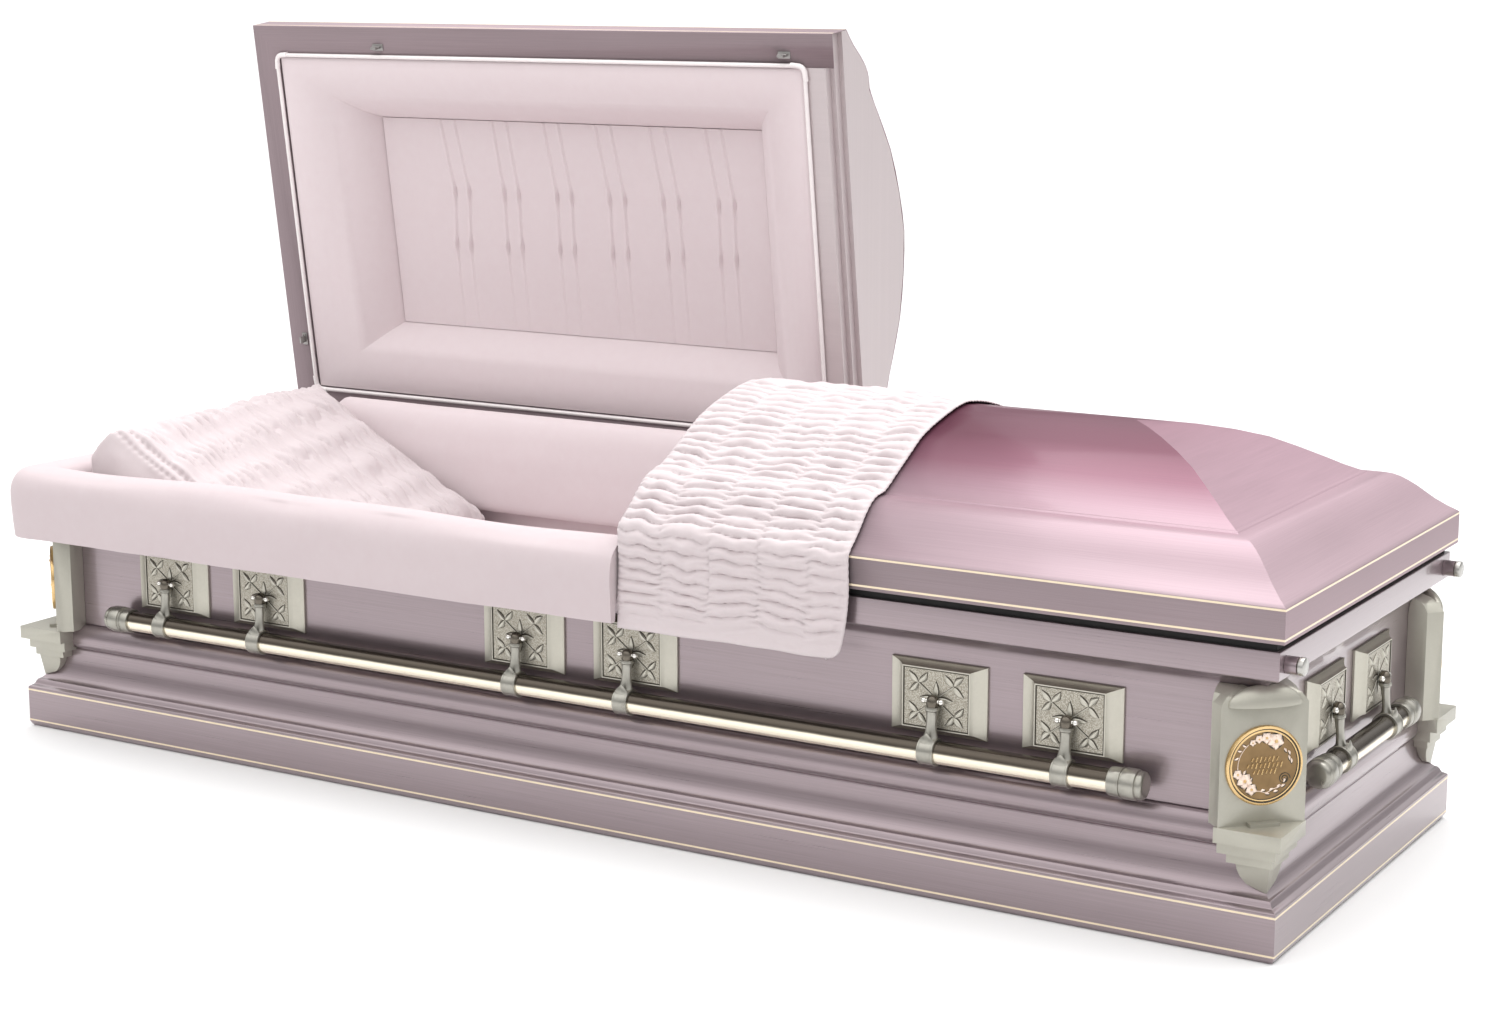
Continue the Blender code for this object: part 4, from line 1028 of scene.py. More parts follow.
# Arm sections: height from the swing axis, half width, half depth, finish
ARM = (
    (0.0086, 0.0008, 0.0008, 1), (0.0082, 0.0034, 0.0034, 1), (0.0066, 0.0058, 0.0058, 1),
    (0.0038, 0.0078, 0.0078, 1), (0.0000, 0.0086, 0.0086, 1), (-0.0050, 0.0084, 0.0084, 1),
    (-0.0072, 0.0078, 0.0076, 1), (-0.0078, 0.0094, 0.0086, 0), (-0.0086, 0.0098, 0.0088, 0),
    (-0.0118, 0.0098, 0.0086, 0), (-0.0126, 0.0088, 0.0076, 0), (-0.0134, 0.0086, 0.0066, 0),
    (-0.0200, 0.0076, 0.0058, 0), (-0.0280, 0.0073, 0.0054, 0), (-0.0350, 0.0078, 0.0052, 0),
    (-0.0410, 0.0090, 0.0054, 0), (-0.0460, 0.0104, 0.0060, 0), (-0.0510, 0.0114, 0.0076, 0),
    (-0.0560, 0.0118, 0.0104, 0), (-0.0600, 0.0119, 0.0140, 0),
)


def handle_arm():
    bm = bmesh.new()
    ring = None
    for height, wide, deep, slot in ARM:
        shift = BAR_SHIFT * min(-height / BAR_DROP, 1.0) if height < 0 else 0.0
        made = bmesh.ops.create_circle(bm, segments=20, radius=1.0)["verts"]
        for vert in made:
            vert.co = (vert.co.x * wide, vert.co.y * deep + shift, height)
        fresh = list({edge for vert in made for edge in vert.link_edges})
        if ring:
            faces = bmesh.ops.bridge_loops(bm, edges=ring + fresh)["faces"]
            for face in faces:
                face.material_index = slot
        ring = fresh
    for face in capped(bm).faces:
        if len(face.verts) > 4 and face.calc_center_median().z > 0:
            face.material_index = 1
    return bm


def saddle():
    """Pointed tongue of the collar that laps up the arm."""
    bm = leaf(0.024, 0.0225, 0.0030, 0.0, 0.0)
    upright = Matrix.Rotation(math.radians(-90), 4, "Y")
    bm.transform(Matrix.Translation((0, BAR_SHIFT - 0.0105, -0.0640)) @ upright)
    return bm


def handle_mesh(side):
    node = f"handle_{side}"
    size = high(node) - low(node)
    half = (size.x if side in ("front", "back") else size.y) / 2
    to_bar = Matrix.Translation((0, BAR_SHIFT, -BAR_DROP))
    bm = bmesh.new()
    gather(bm, rod(BAR_RADIUS, half - 0.045, 40, "X"), 2, to_bar)
    for turn in (0, math.pi):
        gather(bm, turned(cap_profile(half), 40, "X"), 0, to_bar @ Matrix.Rotation(turn, 4, "Z"))
    for lug in lugs_on(side):
        shift = Matrix.Translation((along_side(side, lug), 0, 0))
        gather(bm, turned(COLLAR, 40, "X"), 0, shift @ to_bar)
        gather(bm, handle_arm(), None, shift)
        gather(bm, saddle(), 0, shift)
        gather(bm, rod(0.0030, 0.0135, 16, "X"), 3, shift)
        for end in (-0.0128, 0.0128):
            ball = bmesh.new()
            bmesh.ops.create_uvsphere(ball, u_segments=20, v_segments=12, radius=0.0043)
            gather(bm, ball, 3, shift @ Matrix.Translation((end, -0.0004, 0)))
    bm.transform(side_matrix(side) @ Matrix.Translation((0, AXIS_INSET, LUG_CENTRE)))
    return bm


for side in SIDE_TURNS:
    node = f"handle_{side}"
    finishes = [pewter_finish, dome_finish, bar_finish, ball_finish]
    put(f"swing_bar_{side}", handle_mesh(side), finishes, node, [node], 35)
print("handles made")

# %% [markdown]
# ## Corner ornaments
#
# The solid already has the diagonal face, shelf, steps and pointed foot of the casting.
# Its copy is merged and its edges are rounded, as a polished casting's are.

# %% Corner ornaments
CORNERS = (
    ("front_head", -1, -1, 0),
    ("front_foot", 1, -1, 90),
    ("back_foot", 1, 1, 180),
    ("back_head", -1, 1, 270),
)
FACE = (0.0505 - 0.0003) / math.sqrt(2)
DOME_LEVEL, SEAT_LEVEL, MEDALLION_LEVEL = 0.3215, 0.1692, 0.245


def on_corner(corner, reach, level):
    """Frame on a corner's diagonal face, that far in from the base's corner, looking outward."""
    _name, sign_x, sign_y, turn = corner
    spot = Matrix.Translation((sign_x * HALF_LENGTH, sign_y * HALF_WIDTH, 0))
    face = Matrix.Translation((reach, reach, level)) @ Matrix.Rotation(math.radians(-45), 4, "Z")
    return spot @ Matrix.Rotation(math.radians(turn), 4, "Z") @ face


def eased(bm, width, degrees, segments=2):
    """Round every edge sharper than the angle."""
    bmesh.ops.dissolve_limit(bm, angle_limit=math.radians(2), verts=bm.verts, edges=bm.edges)
    folds = [edge for edge in bm.edges if len(edge.link_faces) == 2]
    sharp = [edge for edge in folds if edge.calc_face_angle() > math.radians(degrees)]
    bmesh.ops.bevel(
        bm, geom=sharp, offset=width, offset_type="OFFSET", segments=segments, profile=0.5, affect="EDGES",
        clamp_overlap=True, material=-1,
    )
    return outward(bm)


def corner_dome():
    """Domed head of a corner casting: the upper half of a flattened ball on the diagonal face."""
    bm = bmesh.new()
    bmesh.ops.create_uvsphere(bm, u_segments=40, v_segments=24, radius=1.0)
    everything = bm.verts[:] + bm.edges[:] + bm.faces[:]
    bmesh.ops.bisect_plane(bm, geom=everything, plane_co=(0, 0, 0.02), plane_no=(0, 0, 1), clear_inner=True)
    capped(bm).transform(Matrix.Diagonal((0.0500, 0.0165, 0.0270, 1.0)))
    return bm


for corner in CORNERS:
    node = f"corner_ornament_{corner[0]}"
    bm = eased(solid_copy(node), 0.0008, 28)
    gather(bm, corner_dome(), 0, on_corner(corner, FACE + 0.0012, DOME_LEVEL))
    seat = bmesh.new()
    bmesh.ops.create_cube(seat, size=1.0, matrix=Matrix.Diagonal((0.040, 0.014, 0.006, 1.0)))
    gather(bm, seat, 0, on_corner(corner, FACE - 0.0030, SEAT_LEVEL))
    put(f"corner_casting_{corner[0]}", bm, corner_finish, "casket_body", [node], 35)
print("corner castings made")

# %% [markdown]
# ## Medallions
#
# A round plaque with a double rim. Two garlands of five-petalled flowers and leaves
# follow the rim, with a rolled tendril, and rows of shallow strokes fill the middle.

# %% Medallion
MEDALLION_RADIUS = 0.0515


def plaque():
    radius = MEDALLION_RADIUS
    rim = ((0.0, 0.0), (0.0, 0.0028), (0.0006, 0.0042), (0.0022, 0.0052), (0.0036, 0.0050), (0.0044, 0.0040),
           (0.0052, 0.0040), (0.0060, 0.0046), (0.0074, 0.0046), (0.0082, 0.0034))
    profile = [(0.0, 0.0), *((radius - inset, height) for inset, height in rim), (0.0, 0.0034)]
    bm = turned(profile, 72, "-Y")
    for face in bm.faces:
        centre = face.calc_center_median()
        distance = math.hypot(centre.x, centre.z)
        if distance < radius - 0.0080 and centre.y < -0.001:
            face.material_index = 1
        elif centre.y < -0.001 and (0.0040 < radius - distance < 0.0053 or radius - distance > 0.0076):
            face.material_index = 2
    return bm


def flower(size):
    """Five notched petals round a small eye, facing -Y."""
    bm = bmesh.new()
    for petal in range(5):
        turn = Matrix.Rotation(math.radians(72 * petal + 18), 4, "Y")
        gather(bm, leaf(size, size * 0.95, size * 0.26, 0.0, 0.35), 0, turn)
    eye = bmesh.new()
    bmesh.ops.create_uvsphere(eye, u_segments=10, v_segments=6, radius=size * 0.20)
    gather(bm, eye, 1, Matrix.Translation((0, -size * 0.12, 0)))
    return bm


def on_ring(radius, degrees):
    return Vector((radius * math.cos(math.radians(degrees)), 0, radius * math.sin(math.radians(degrees))))


def medallion_mesh():
    bm = plaque()
    ground = Matrix.Translation((0, -0.0034, 0))
    flowers = ((34, 66, 0.0115), (36, 88, 0.0078), (36, 104, 0.0058), (35, 119, 0.0046),
               (32, 214, 0.0108), (37, 194, 0.0068), (34, 240, 0.0082))
    for radius, degrees, size in flowers:
        spot = Matrix.Translation(on_ring(radius / 1000, degrees))
        lift = Matrix.Translation((0, -0.0006, 0))
        backing = turned([(0.0, 0.0), (size * 0.95, 0.0), (size * 0.8, 0.0006), (0.0, 0.0008)], 16, "-Y")
        gather(bm, backing, 2, ground @ spot)
        bloom = flower(size)
        for face in bloom.faces:
            face.material_index = 4 if face.material_index == 1 else 3
        gather(bm, bloom, None, ground @ lift @ spot)
    leaves = ((33, 40, -60), (36, 30, -70), (34, 20, -80), (36, 12, -85), (36, 134, 150), (37, 146, 170),
              (37, 160, 200), (33, 262, 10), (36, 272, -10), (34, 282, 30), (37, 290, 10), (35, 300, 50),
              (37, 308, 30), (35, 318, 60), (30, 200, 60), (28, 226, 60))
    for radius, degrees, turned_by in leaves:
        spot = ground @ Matrix.Translation(on_ring(radius / 1000, degrees))
        turn = Matrix.Rotation(math.radians(-turned_by), 4, "Y")
        # Flat dark copy of the leaf, offset to one side: painted shadow of the leaf.
        shade = Matrix.Translation((0.0003, 0, -0.0004))
        gather(bm, leaf(0.0078, 0.0040, 0.0006, 0.0, 0.0), 2, spot @ shade @ turn)
        gather(bm, leaf(0.0070, 0.0032, 0.0012, 0.0005, 0.2), 3, spot @ turn)
    raised = Vector((0, -0.0036, 0))
    stem = [on_ring(0.034 + 0.001 * math.sin(step), 236 + step * 5) + raised for step in range(16)]
    gather(bm, tube(stem, 0.0005, 1), 3)
    upper = [on_ring(0.036, 128 + step * 5) + raised for step in range(14)]
    gather(bm, tube(upper, 0.0005, 1), 3)
    centre = on_ring(0.0325, 326) + raised
    curl = [centre + on_ring(0.0080 - 0.00021 * step, math.degrees(step * 0.40)) for step in range(34)]
    gather(bm, tube(curl, 0.0006, 1), 2)
    for row, (count, level) in enumerate(((7, 0.0085), (9, 0.0005), (6, -0.0075))):
        for stroke in range(count):
            x = (stroke - (count - 1) / 2) * 0.0056
            half = 0.0026 + 0.0006 * ((stroke * 7 + row * 3) % 3)
            lean = 0.0011
            ends = [Vector((x - lean, -0.0036, level - half)), Vector((x + lean, -0.0036, level + half))]
            gather(bm, tube(ends, 0.0011, 1), 0)
            # Dark copy of the stroke, offset to one side: painted shadow of the stroke.
            shade = Vector((0.0005, 0.0004, -0.0005))
            gather(bm, tube([end + shade for end in ends], 0.0009, 1), 2)
    return bm


medal_finishes = [gold_finish, field_finish, recess_and_shadow_finish, petal_finish, gold_finish]
for corner in CORNERS:
    bm = medallion_mesh()
    bm.transform(on_corner(corner, FACE, MEDALLION_LEVEL))
    node = f"corner_medallion_{corner[0]}"
    put(f"medallion_{corner[0]}", bm, medal_finishes, "casket_body", [node], 30)
print("medallions made")

# %% [markdown]
# ## Locks and catches
#
# Two painted barrels with a dark ring and a silver cap stand on the foot rim. The three
# catches under the head lid are small folded hooks.

# %% Locks and catches
def lock_mesh(place):
    bm = bmesh.new()
    barrel = [(0.0, 0.0), (0.0113, 0.0), (0.0115, 0.0006), (0.0115, 0.0158), (0.0, 0.0158)]
    ring = [(0.0, 0.0150), (0.0104, 0.0150), (0.0104, 0.0176), (0.0, 0.0176)]
    cap = [(0.0, 0.0170), (0.0112, 0.0170), (0.0118, 0.0178), (0.0118, 0.0226), (0.0112, 0.0240)]
    cap += [(0.0095, 0.0250), (0.0, 0.0252)]
    for slot, profile in enumerate((barrel, ring, cap)):
        gather(bm, turned(profile, 36, "X"), slot, place)
    return bm


for name in ("front", "back"):
    node = f"lock_barrel_{name}"
    centre = (low(node) + high(node)) / 2
    place = Matrix.Translation((low(node).x, centre.y, centre.z))
    finishes = [shell_finish, recess_and_shadow_finish, lock_finish]
    put(f"lock_{name}", lock_mesh(place), finishes, "casket_body", [node], 30)

for name, run in (("head", "X"), ("split", "X"), ("end", "Z")):
    node = f"lid_catch_{name}"
    bm = eased(solid_copy(node), 0.0004, 25)
    centre = (low(node) + high(node)) / 2
    gather(bm, rod(0.0017, 0.008, 14, run), 0, Matrix.Translation(centre))
    put(f"catch_{name}", bm, steel_finish, "head_lid", [node], 35)
print("locks and catches made")

# %% [markdown]
# ## Gathered cloth
#
# Shirred velvet is stitched down in columns and pushed together along them, so that it
# puffs up between the stitches in short folds. One height function gives the folds of
# the throw: rounded puffs, sharp creases, and a pinch at each stitched column.

# %% Height of gathered cloth
def chance(*numbers):
    """A fixed value from 0 to 1 for a set of numbers."""
    return 0.5 + 0.5 * noise.noise(Vector([number * 3.71 + 0.37 for number in (*numbers, 0.0, 0.0)][:3]))


def gathers(along, across, columns, period, seed):
    """Height from 0 to 1; along runs with the stitched columns and across over them."""
    band = max(index for index, column in enumerate(columns) if across >= column or index == 0)
    band = min(band, len(columns) - 2)
    left, right = columns[band], columns[band + 1]
    share = clamped((across - left) / (right - left))
    puff = math.sin(math.pi * share) ** 0.60
    sway = noise.noise(Vector((along * 9.0, across * 9.0 + band * 5.0, seed)))
    slant = (chance(band, seed) - 0.5) * 0.8 * share
    phase = along / period + 0.55 * sway + slant + band * 0.47
    phase += 0.30 * noise.noise(Vector((across * 40.0, along * 22.0, seed + 3)))
    number = math.floor(phase)
    crest = abs(math.sin(math.pi * phase)) ** 0.60
    fullness = 0.45 + 0.75 * chance(number * 1.7, band * 2.3 + seed)
    lean = 0.80 + 0.30 * noise.noise(Vector((number * 1.9, share * 3.0 + band, seed)))
    pucker = abs(math.sin(2 * math.pi * phase)) ** 0.8 * 0.34
    wrinkle = 0.06 * noise.noise(Vector((along * 130, across * 50, seed)))
    return max(crest * fullness * lean * puff + pucker * (1.0 - puff) + wrinkle, 0.0)


print("gathers ready, sample", round(gathers(0.1, 0.04, [0.0, 0.08], 0.018, 1), 3))

# %% [markdown]
# ## Throw
#
# One sheet of shirred velvet lies over the foot lid from the split and hangs down the
# front. Its rows follow the lid's own outline, a little smoothed as cloth bridges a
# hollow, and the folds stand up from it. The side and bottom edges are hemmed flat.

# %% Evenly spaced lines
def spaced(points, count):
    """The same line as evenly spaced points."""
    lengths = [0.0]
    for a, b in zip(points, points[1:]):
        lengths.append(lengths[-1] + math.dist(a, b))
    found = []
    piece = 0
    for step in range(count):
        target = lengths[-1] * step / (count - 1)
        while piece < len(points) - 2 and lengths[piece + 1] < target:
            piece += 1
        share = (target - lengths[piece]) / (lengths[piece + 1] - lengths[piece])
        a, b = points[piece], points[piece + 1]
        found.append((a[0] + (b[0] - a[0]) * share, a[1] + (b[1] - a[1]) * share))
    return found, lengths[-1]


def relaxed(points, rounds):
    """The same line with its bends eased, its ends kept."""
    for _round in range(rounds):
        middle = [((a[0] + 2 * b[0] + c[0]) / 4, (a[1] + 2 * b[1] + c[1]) / 4)
                  for a, b, c in zip(points, points[1:], points[2:])]
        points = [points[0], *middle, points[-1]]
    return points


def normals_of(points):
    """Unit normals, to the left of the direction of travel."""
    found = []
    for index in range(len(points)):
        a = points[max(index - 1, 0)]
        b = points[min(index + 1, len(points) - 1)]
        length = math.dist(a, b)
        found.append((-(b[1] - a[1]) / length, (b[0] - a[0]) / length))
    return found


print("line helpers ready")

# %% Throw
THROW_HEM = low("throw").z - 0.001
THROW_LEFT = low("throw").x
THROW_RIGHT = high("throw").x
THROW_ROWS, THROW_COLUMNS = 474, 100
HEM_CORNER = 0.014


def throw_line():
    outline = lid_profile()[2:]
    front = [(-LID_SIDE, THROW_HEM)] + [(-LID_SIDE + inset, z) for inset, z in outline]
    back = [(LID_SIDE - inset, z) for inset, z in outline[-2::-1] if inset > 0.012]
    points, length = spaced(front + back, THROW_ROWS)
    return relaxed(points, 14), length


def grid(rows, columns):
    """Flat grid with corners at (0, 0) and (1, 1)."""
    bm = bmesh.new()
    bmesh.ops.create_grid(bm, x_segments=columns - 1, y_segments=rows - 1, size=0.5)
    bmesh.ops.translate(bm, verts=bm.verts, vec=(0.5, 0.5, 0))
    return bm


def throw_mesh():
    line, length = throw_line()
    normals = normals_of(line)
    width = THROW_RIGHT - THROW_LEFT
    columns = [width * share for share in (0.0, 0.195, 0.405, 0.625, 0.835, 1.0)]
    bm = grid(THROW_ROWS, THROW_COLUMNS)
    for vert in bm.verts:
        share, way = vert.co.x, vert.co.y
        row = min(round(way * (THROW_ROWS - 1)), THROW_ROWS - 1)
        along = way * length
        across = share * width
        height = gathers(along, across, columns, 0.0178, 2.0) * 0.0125
        side = clamped((width - across - 0.006) / 0.010) * clamped(across / 0.006)
        calm = clamped((along - 0.010) / 0.030) * (0.35 + 0.65 * side)
        hem = math.exp(-(((along - 0.004) / 0.004) ** 2)) * 0.0012
        edge = math.exp(-(((width - across - 0.003) / 0.0028) ** 2)) * 0.0016
        sway = 0.0022 * noise.noise(Vector((across * 11, along * 3.0, 5.0))) * math.exp(-along / 0.12)
        lift = 0.0030 + height * calm + hem + edge + sway + 0.0035 * math.exp(-along / 0.05)
        y = line[row][0] + normals[row][0] * lift
        z = line[row][1] + normals[row][1] * lift
        flare = 0.0085 * math.exp(-max(along - 0.10, 0.0) / 0.10)
        pull = (flare - 0.0185 * math.exp(-along / 0.045)) * share
        short = HEM_CORNER - math.sqrt(HEM_CORNER ** 2 - max(HEM_CORNER - along, 0.0) ** 2)
        corner = short * max(share - 0.6, 0.0) / 0.4
        wave = 0.0016 * noise.noise(Vector((along * 16, share * 2, 9.0)))
        drop = 0.0025 * noise.noise(Vector((across * 14, 3.0, 1.0))) * math.exp(-along / 0.03)
        vert.co = (THROW_LEFT + 0.0008 + across + pull - corner + wave, y, z + drop)
    return bm


throw = put("throw_velvet", throw_mesh(), velvet_finish, "foot_lid", ["throw"], 80)
if not facing_up(throw, Vector((0, 0, 1))):
    throw.data.flip_normals()
thicken(throw)
print("throw", len(throw.data.polygons), "faces")

# %% [markdown]
# ## Pillow
#
# The pillow starts as its solid, remeshed evenly and blown up as a cloth bag under
# light pressure, so that its edges relax and its faces belly. The gathers are then
# raised on its top face, between stitched columns, and a double seam runs along the
# front edge.

# %% Inflate a soft solid
def smoothed(bm):
    """Pull every point half way to its neighbours."""
    bmesh.ops.smooth_vert(bm, verts=bm.verts, factor=0.5, use_axis_x=True, use_axis_y=True, use_axis_z=True)


def even_mesh(bm, voxel):
    """Even quads of the voxel size over the same solid."""
    mesh = bpy.data.meshes.new("carrier")
    bm.to_mesh(mesh)
    bm.free()
    carrier = bpy.data.objects.new("carrier", mesh)
    bpy.context.collection.objects.link(carrier)
    remesh = carrier.modifiers.new("remesh", "REMESH")
    remesh.mode = "VOXEL"
    remesh.voxel_size = voxel
    bpy.context.view_layer.update()
    graph = bpy.context.evaluated_depsgraph_get()
    even = bpy.data.meshes.new_from_object(carrier.evaluated_get(graph))
    carrier.modifiers.clear()
    carrier.data = even
    bpy.data.meshes.remove(mesh)
    return carrier


PRESSURE, LAST_FRAME, FARTHEST = 4.0, 20, 0.010


def inflated(bm, voxel):
    """Remesh a solid, blow it up as cloth and cap how far any point moves."""
    carrier = even_mesh(bm, voxel)
    rest = [vert.co.copy() for vert in carrier.data.vertices]
    cloth = carrier.modifiers.new("cloth", "CLOTH")
    cloth.settings.quality = 6
    cloth.settings.use_pressure = True
    cloth.settings.uniform_pressure_force = PRESSURE
    cloth.settings.effector_weights.gravity = 0.0
    cloth.point_cache.frame_start = 1
    cloth.point_cache.frame_end = LAST_FRAME
    scene = bpy.context.scene
    for frame_number in range(1, LAST_FRAME + 1):
        scene.frame_set(frame_number)
    graph = bpy.context.evaluated_depsgraph_get()
    blown = bpy.data.meshes.new_from_object(carrier.evaluated_get(graph))
    carrier.modifiers.clear()
    for vert, start, moved in zip(carrier.data.vertices, rest, blown.vertices):
        step = moved.co - start
        if step.length > FARTHEST:
            step = step * (FARTHEST / step.length)
        vert.co = start + step
    bpy.data.meshes.remove(blown)
    scene.frame_set(1)
    done = bmesh.new()
    done.from_mesh(carrier.data)
    mesh = carrier.data
    bpy.data.objects.remove(carrier)
    bpy.data.meshes.remove(mesh)
    for _round in range(4):
        smoothed(done)
    return done


def refine(bm):
    """One subdivision, with the new points pulled smooth."""
    bmesh.ops.subdivide_edges(bm, edges=bm.edges, cuts=1, use_grid_fill=True, smooth=0.0)
    smoothed(bm)
    return outward(bm)


print("soft solid helpers ready")

# %% Pillow
PILLOW_LOW, PILLOW_HIGH = low("pillow"), high("pillow")
pillow_bm = refine(inflated(solid_copy("pillow"), 0.0062))
slope = Vector((0.402, 0, -0.214)).normalized()
up_slope = Vector((0.214, 0, 0.402)).normalized()


def short_folds(over, down):
    """Soft folds that run down the slope, short and staggered."""
    sway = 0.004 * noise.noise(Vector((over * 14.0, down * 14.0, 4.0)))
    fold = noise.noise(Vector(((over + sway) * 58.0, down * 12.0, 7.0)))
    band = 0.35 + 0.65 * math.sin(math.pi * (down + over * 0.12) / 0.076) ** 2
    return min(2.6 * abs(fold), 1.0) ** 0.6 * band


origin = Vector((PILLOW_LOW.x, PILLOW_LOW.y, PILLOW_HIGH.z))
pillow_bm.normal_update()
raised = []
for vert in pillow_bm.verts:
    facing = vert.normal.dot(up_slope)
    down = (vert.co - origin).dot(slope)
    over = vert.co.y - PILLOW_LOW.y
    rim = min(over, PILLOW_HIGH.y - vert.co.y)
    calm = clamped((facing - 0.45) / 0.35) * clamped((rim - 0.026) / 0.022)
    height = short_folds(over, down)
    phase = math.tau * down / 0.013 + 3 * noise.noise(Vector((down * 20, rim * 40, 1.0)))
    pucker = 0.8 + 0.45 * math.sin(phase)
    seam = 0.0
    if facing > 0.2:
        for line in (0.014, 0.028):
            seam -= 0.0042 * pucker * math.exp(-(((rim - line) / 0.0028) ** 2))
            seam += 0.0026 * math.exp(-(((rim - line - 0.006) / 0.004) ** 2))
    soft = 0.0030 * noise.noise(vert.co * 9.0) + 0.0010 * noise.noise(vert.co * 34.0)
    raised.append((vert, vert.normal * (height * 0.0105 * calm + seam * min(facing, 1.0) + soft)))
for vert, shift in raised:
    vert.co += shift
pillow = put("pillow_velvet", pillow_bm, velvet_finish, "casket_body", ["pillow"], 80)
print("pillow", len(pillow.data.polygons), "faces")

# %% [markdown]
# ## Apron
#
# Smooth crepe is drawn over a soft roll on the rim and hangs outside in a plain skirt,
# round the front and the head end. It is drawn as one padded skin whose corner turns in
# a soft radius.

# %% Apron
APRON_HEM = low("apron").z
APRON_RIGHT = high("apron").x
APRON_BACK = high("apron").y
CORNER_RADIUS = 0.030
CORNER_REACH = CORNER_RADIUS + 0.006


def apron_section():
    """Closed section of (inset, height): skirt, rounded top, inner side and underside."""
    top = LID_BOTTOM
    points = [
        (-0.0185, APRON_HEM + 0.0015), (-0.0198, APRON_HEM + 0.020), (-0.0208, APRON_HEM + 0.045),
        (-0.0212, top - 0.030), (-0.0205, top - 0.014), (-0.0175, top - 0.001), (-0.0110, top + 0.0105),
        (-0.0010, top + 0.0185), (0.0120, top + 0.0225), (0.0270, top + 0.0230), (0.0420, top + 0.0195),
        (0.0560, top + 0.0120), (0.0638, top - 0.001), (0.0635, BODY_TOP - 0.002), (0.0515, BODY_TOP - 0.002),
        (0.0515, top + 0.0006), (0.0088, top + 0.0006), (0.0085, APRON_HEM + 0.044),
        (-0.0062, APRON_HEM + 0.026), (-0.0064, APRON_HEM + 0.001), (-0.0120, APRON_HEM - 0.0004),
        (-0.0185, APRON_HEM + 0.0015),
    ]
    return relaxed(spaced(points, 90)[0], 3)


def apron_place(way, inset):
    """Point and outward direction, at a distance along the front and round to the head end."""
    front_length = APRON_RIGHT + HALF_LENGTH
    radius = max(CORNER_RADIUS - inset, 0.004)
    centre = Vector((-HALF_LENGTH + inset + radius, -HALF_WIDTH + inset + radius))
    turn_start = front_length - CORNER_REACH
    turn_length = CORNER_REACH * 2
    if way < turn_start:
        share = way / turn_start
        x = APRON_RIGHT + (centre.x - APRON_RIGHT) * share
        return Vector((x, -HALF_WIDTH + inset)), Vector((0, -1))
    if way < turn_start + turn_length:
        angle = math.pi / 2 * (way - turn_start) / turn_length
        out = Vector((-math.sin(angle), -math.cos(angle)))
        return centre + out * radius, out
    share = (way - turn_start - turn_length) / (APRON_BACK + HALF_WIDTH - CORNER_REACH)
    y = centre.y + (APRON_BACK - centre.y) * min(share, 1.0)
    return Vector((-HALF_LENGTH + inset, y)), Vector((-1, 0))


def on_section(section, share):
    """Point of a section at a share of its rows."""
    return section[min(round(share * (len(section) - 1)), len(section) - 1)]


def closed_skin(bm):
    """Weld a wrapped grid along its seam and close its ends."""
    bmesh.ops.remove_doubles(bm, verts=bm.verts, dist=0.00001)
    return capped(bm)


def apron_mesh():
    section = apron_section()
    way_length = APRON_RIGHT + HALF_LENGTH + APRON_BACK + HALF_WIDTH
    bm = grid(len(section), 240)
    for vert in bm.verts:
        inset, z = on_section(section, vert.co.y)
        way = vert.co.x * way_length
        place, out = apron_place(way, inset)
        upper = clamped((z - LID_BOTTOM - 0.004) / 0.012)
        sway = 0.0056 * noise.noise(Vector((way * 3.2, z * 5.0, 1.0)))
        sway += 0.0026 * noise.noise(Vector((way * 9.0, z * 16, 4.0)))
        sway += 0.0012 * noise.noise(Vector((way * 30.0, z * 9.0, 6.0)))
        hem = 0.0022 * noise.noise(Vector((way * 5.5, 0.0, 8.0))) * (z < APRON_HEM + 0.03)
        puff = 0.0075 * noise.noise(Vector((way * 3.4, inset * 14, 11.0))) * upper
        underside = z < LID_BOTTOM + 0.003 and inset > -0.008
        if underside or inset >= 0.0:
            sway = hem = 0.0
        if underside:
            puff = 0.0
        vert.co = (place.x + out.x * sway, place.y + out.y * sway, z + puff + hem)
    return closed_skin(bm)


# The apron takes the crepe in painted shade, darker than the lining.
apron = put("apron_crepe", apron_mesh(), crepe_painted_shade_finish, "casket_body", ["apron"], 75)
print("apron", len(apron.data.polygons), "faces")

# %% [markdown]
# ## Lining of the body
#
# Plain crepe walls line the inside, and a tall soft roll stands along the back of the
# open half. The mattress is a padded block with rounded edges.

# %% Walls, back roll and mattress
LINING_BOTTOM = low("body_lining").z
WALL_TOP = BODY_TOP - 0.003
walls = [(0.0525, LINING_BOTTOM), (0.0525, WALL_TOP), (0.0610, WALL_TOP), (0.0618, WALL_TOP - 0.010)]
walls += [(0.0630, WALL_TOP - 0.07), (0.0618, LINING_BOTTOM + 0.02), (0.0605, LINING_BOTTOM)]
walls.append(walls[0])
wall_bm = outward(casket_ring(walls))
lining_walls = put("lining_walls", wall_bm, crepe_finish, "casket_body", ["body_lining"], 50)

ROLL_TOP = high("body_lining").z
ROLL_LEFT, ROLL_RIGHT = -0.930, 0.085


def roll_section():
    outer = HALF_WIDTH - 0.0545
    bottom = LINING_BOTTOM + 0.085
    rise = ROLL_TOP - bottom
    shape = ((0.0, 0.0), (0.0, 0.86), (0.006, 0.965), (0.018, 1.0), (0.033, 0.965), (0.046, 0.83),
             (0.055, 0.58), (0.058, 0.28), (0.055, 0.0), (0.0, 0.0))
    points = [(outer - inset, bottom + rise * share) for inset, share in shape]
    return relaxed(spaced(points, 60)[0], 4)


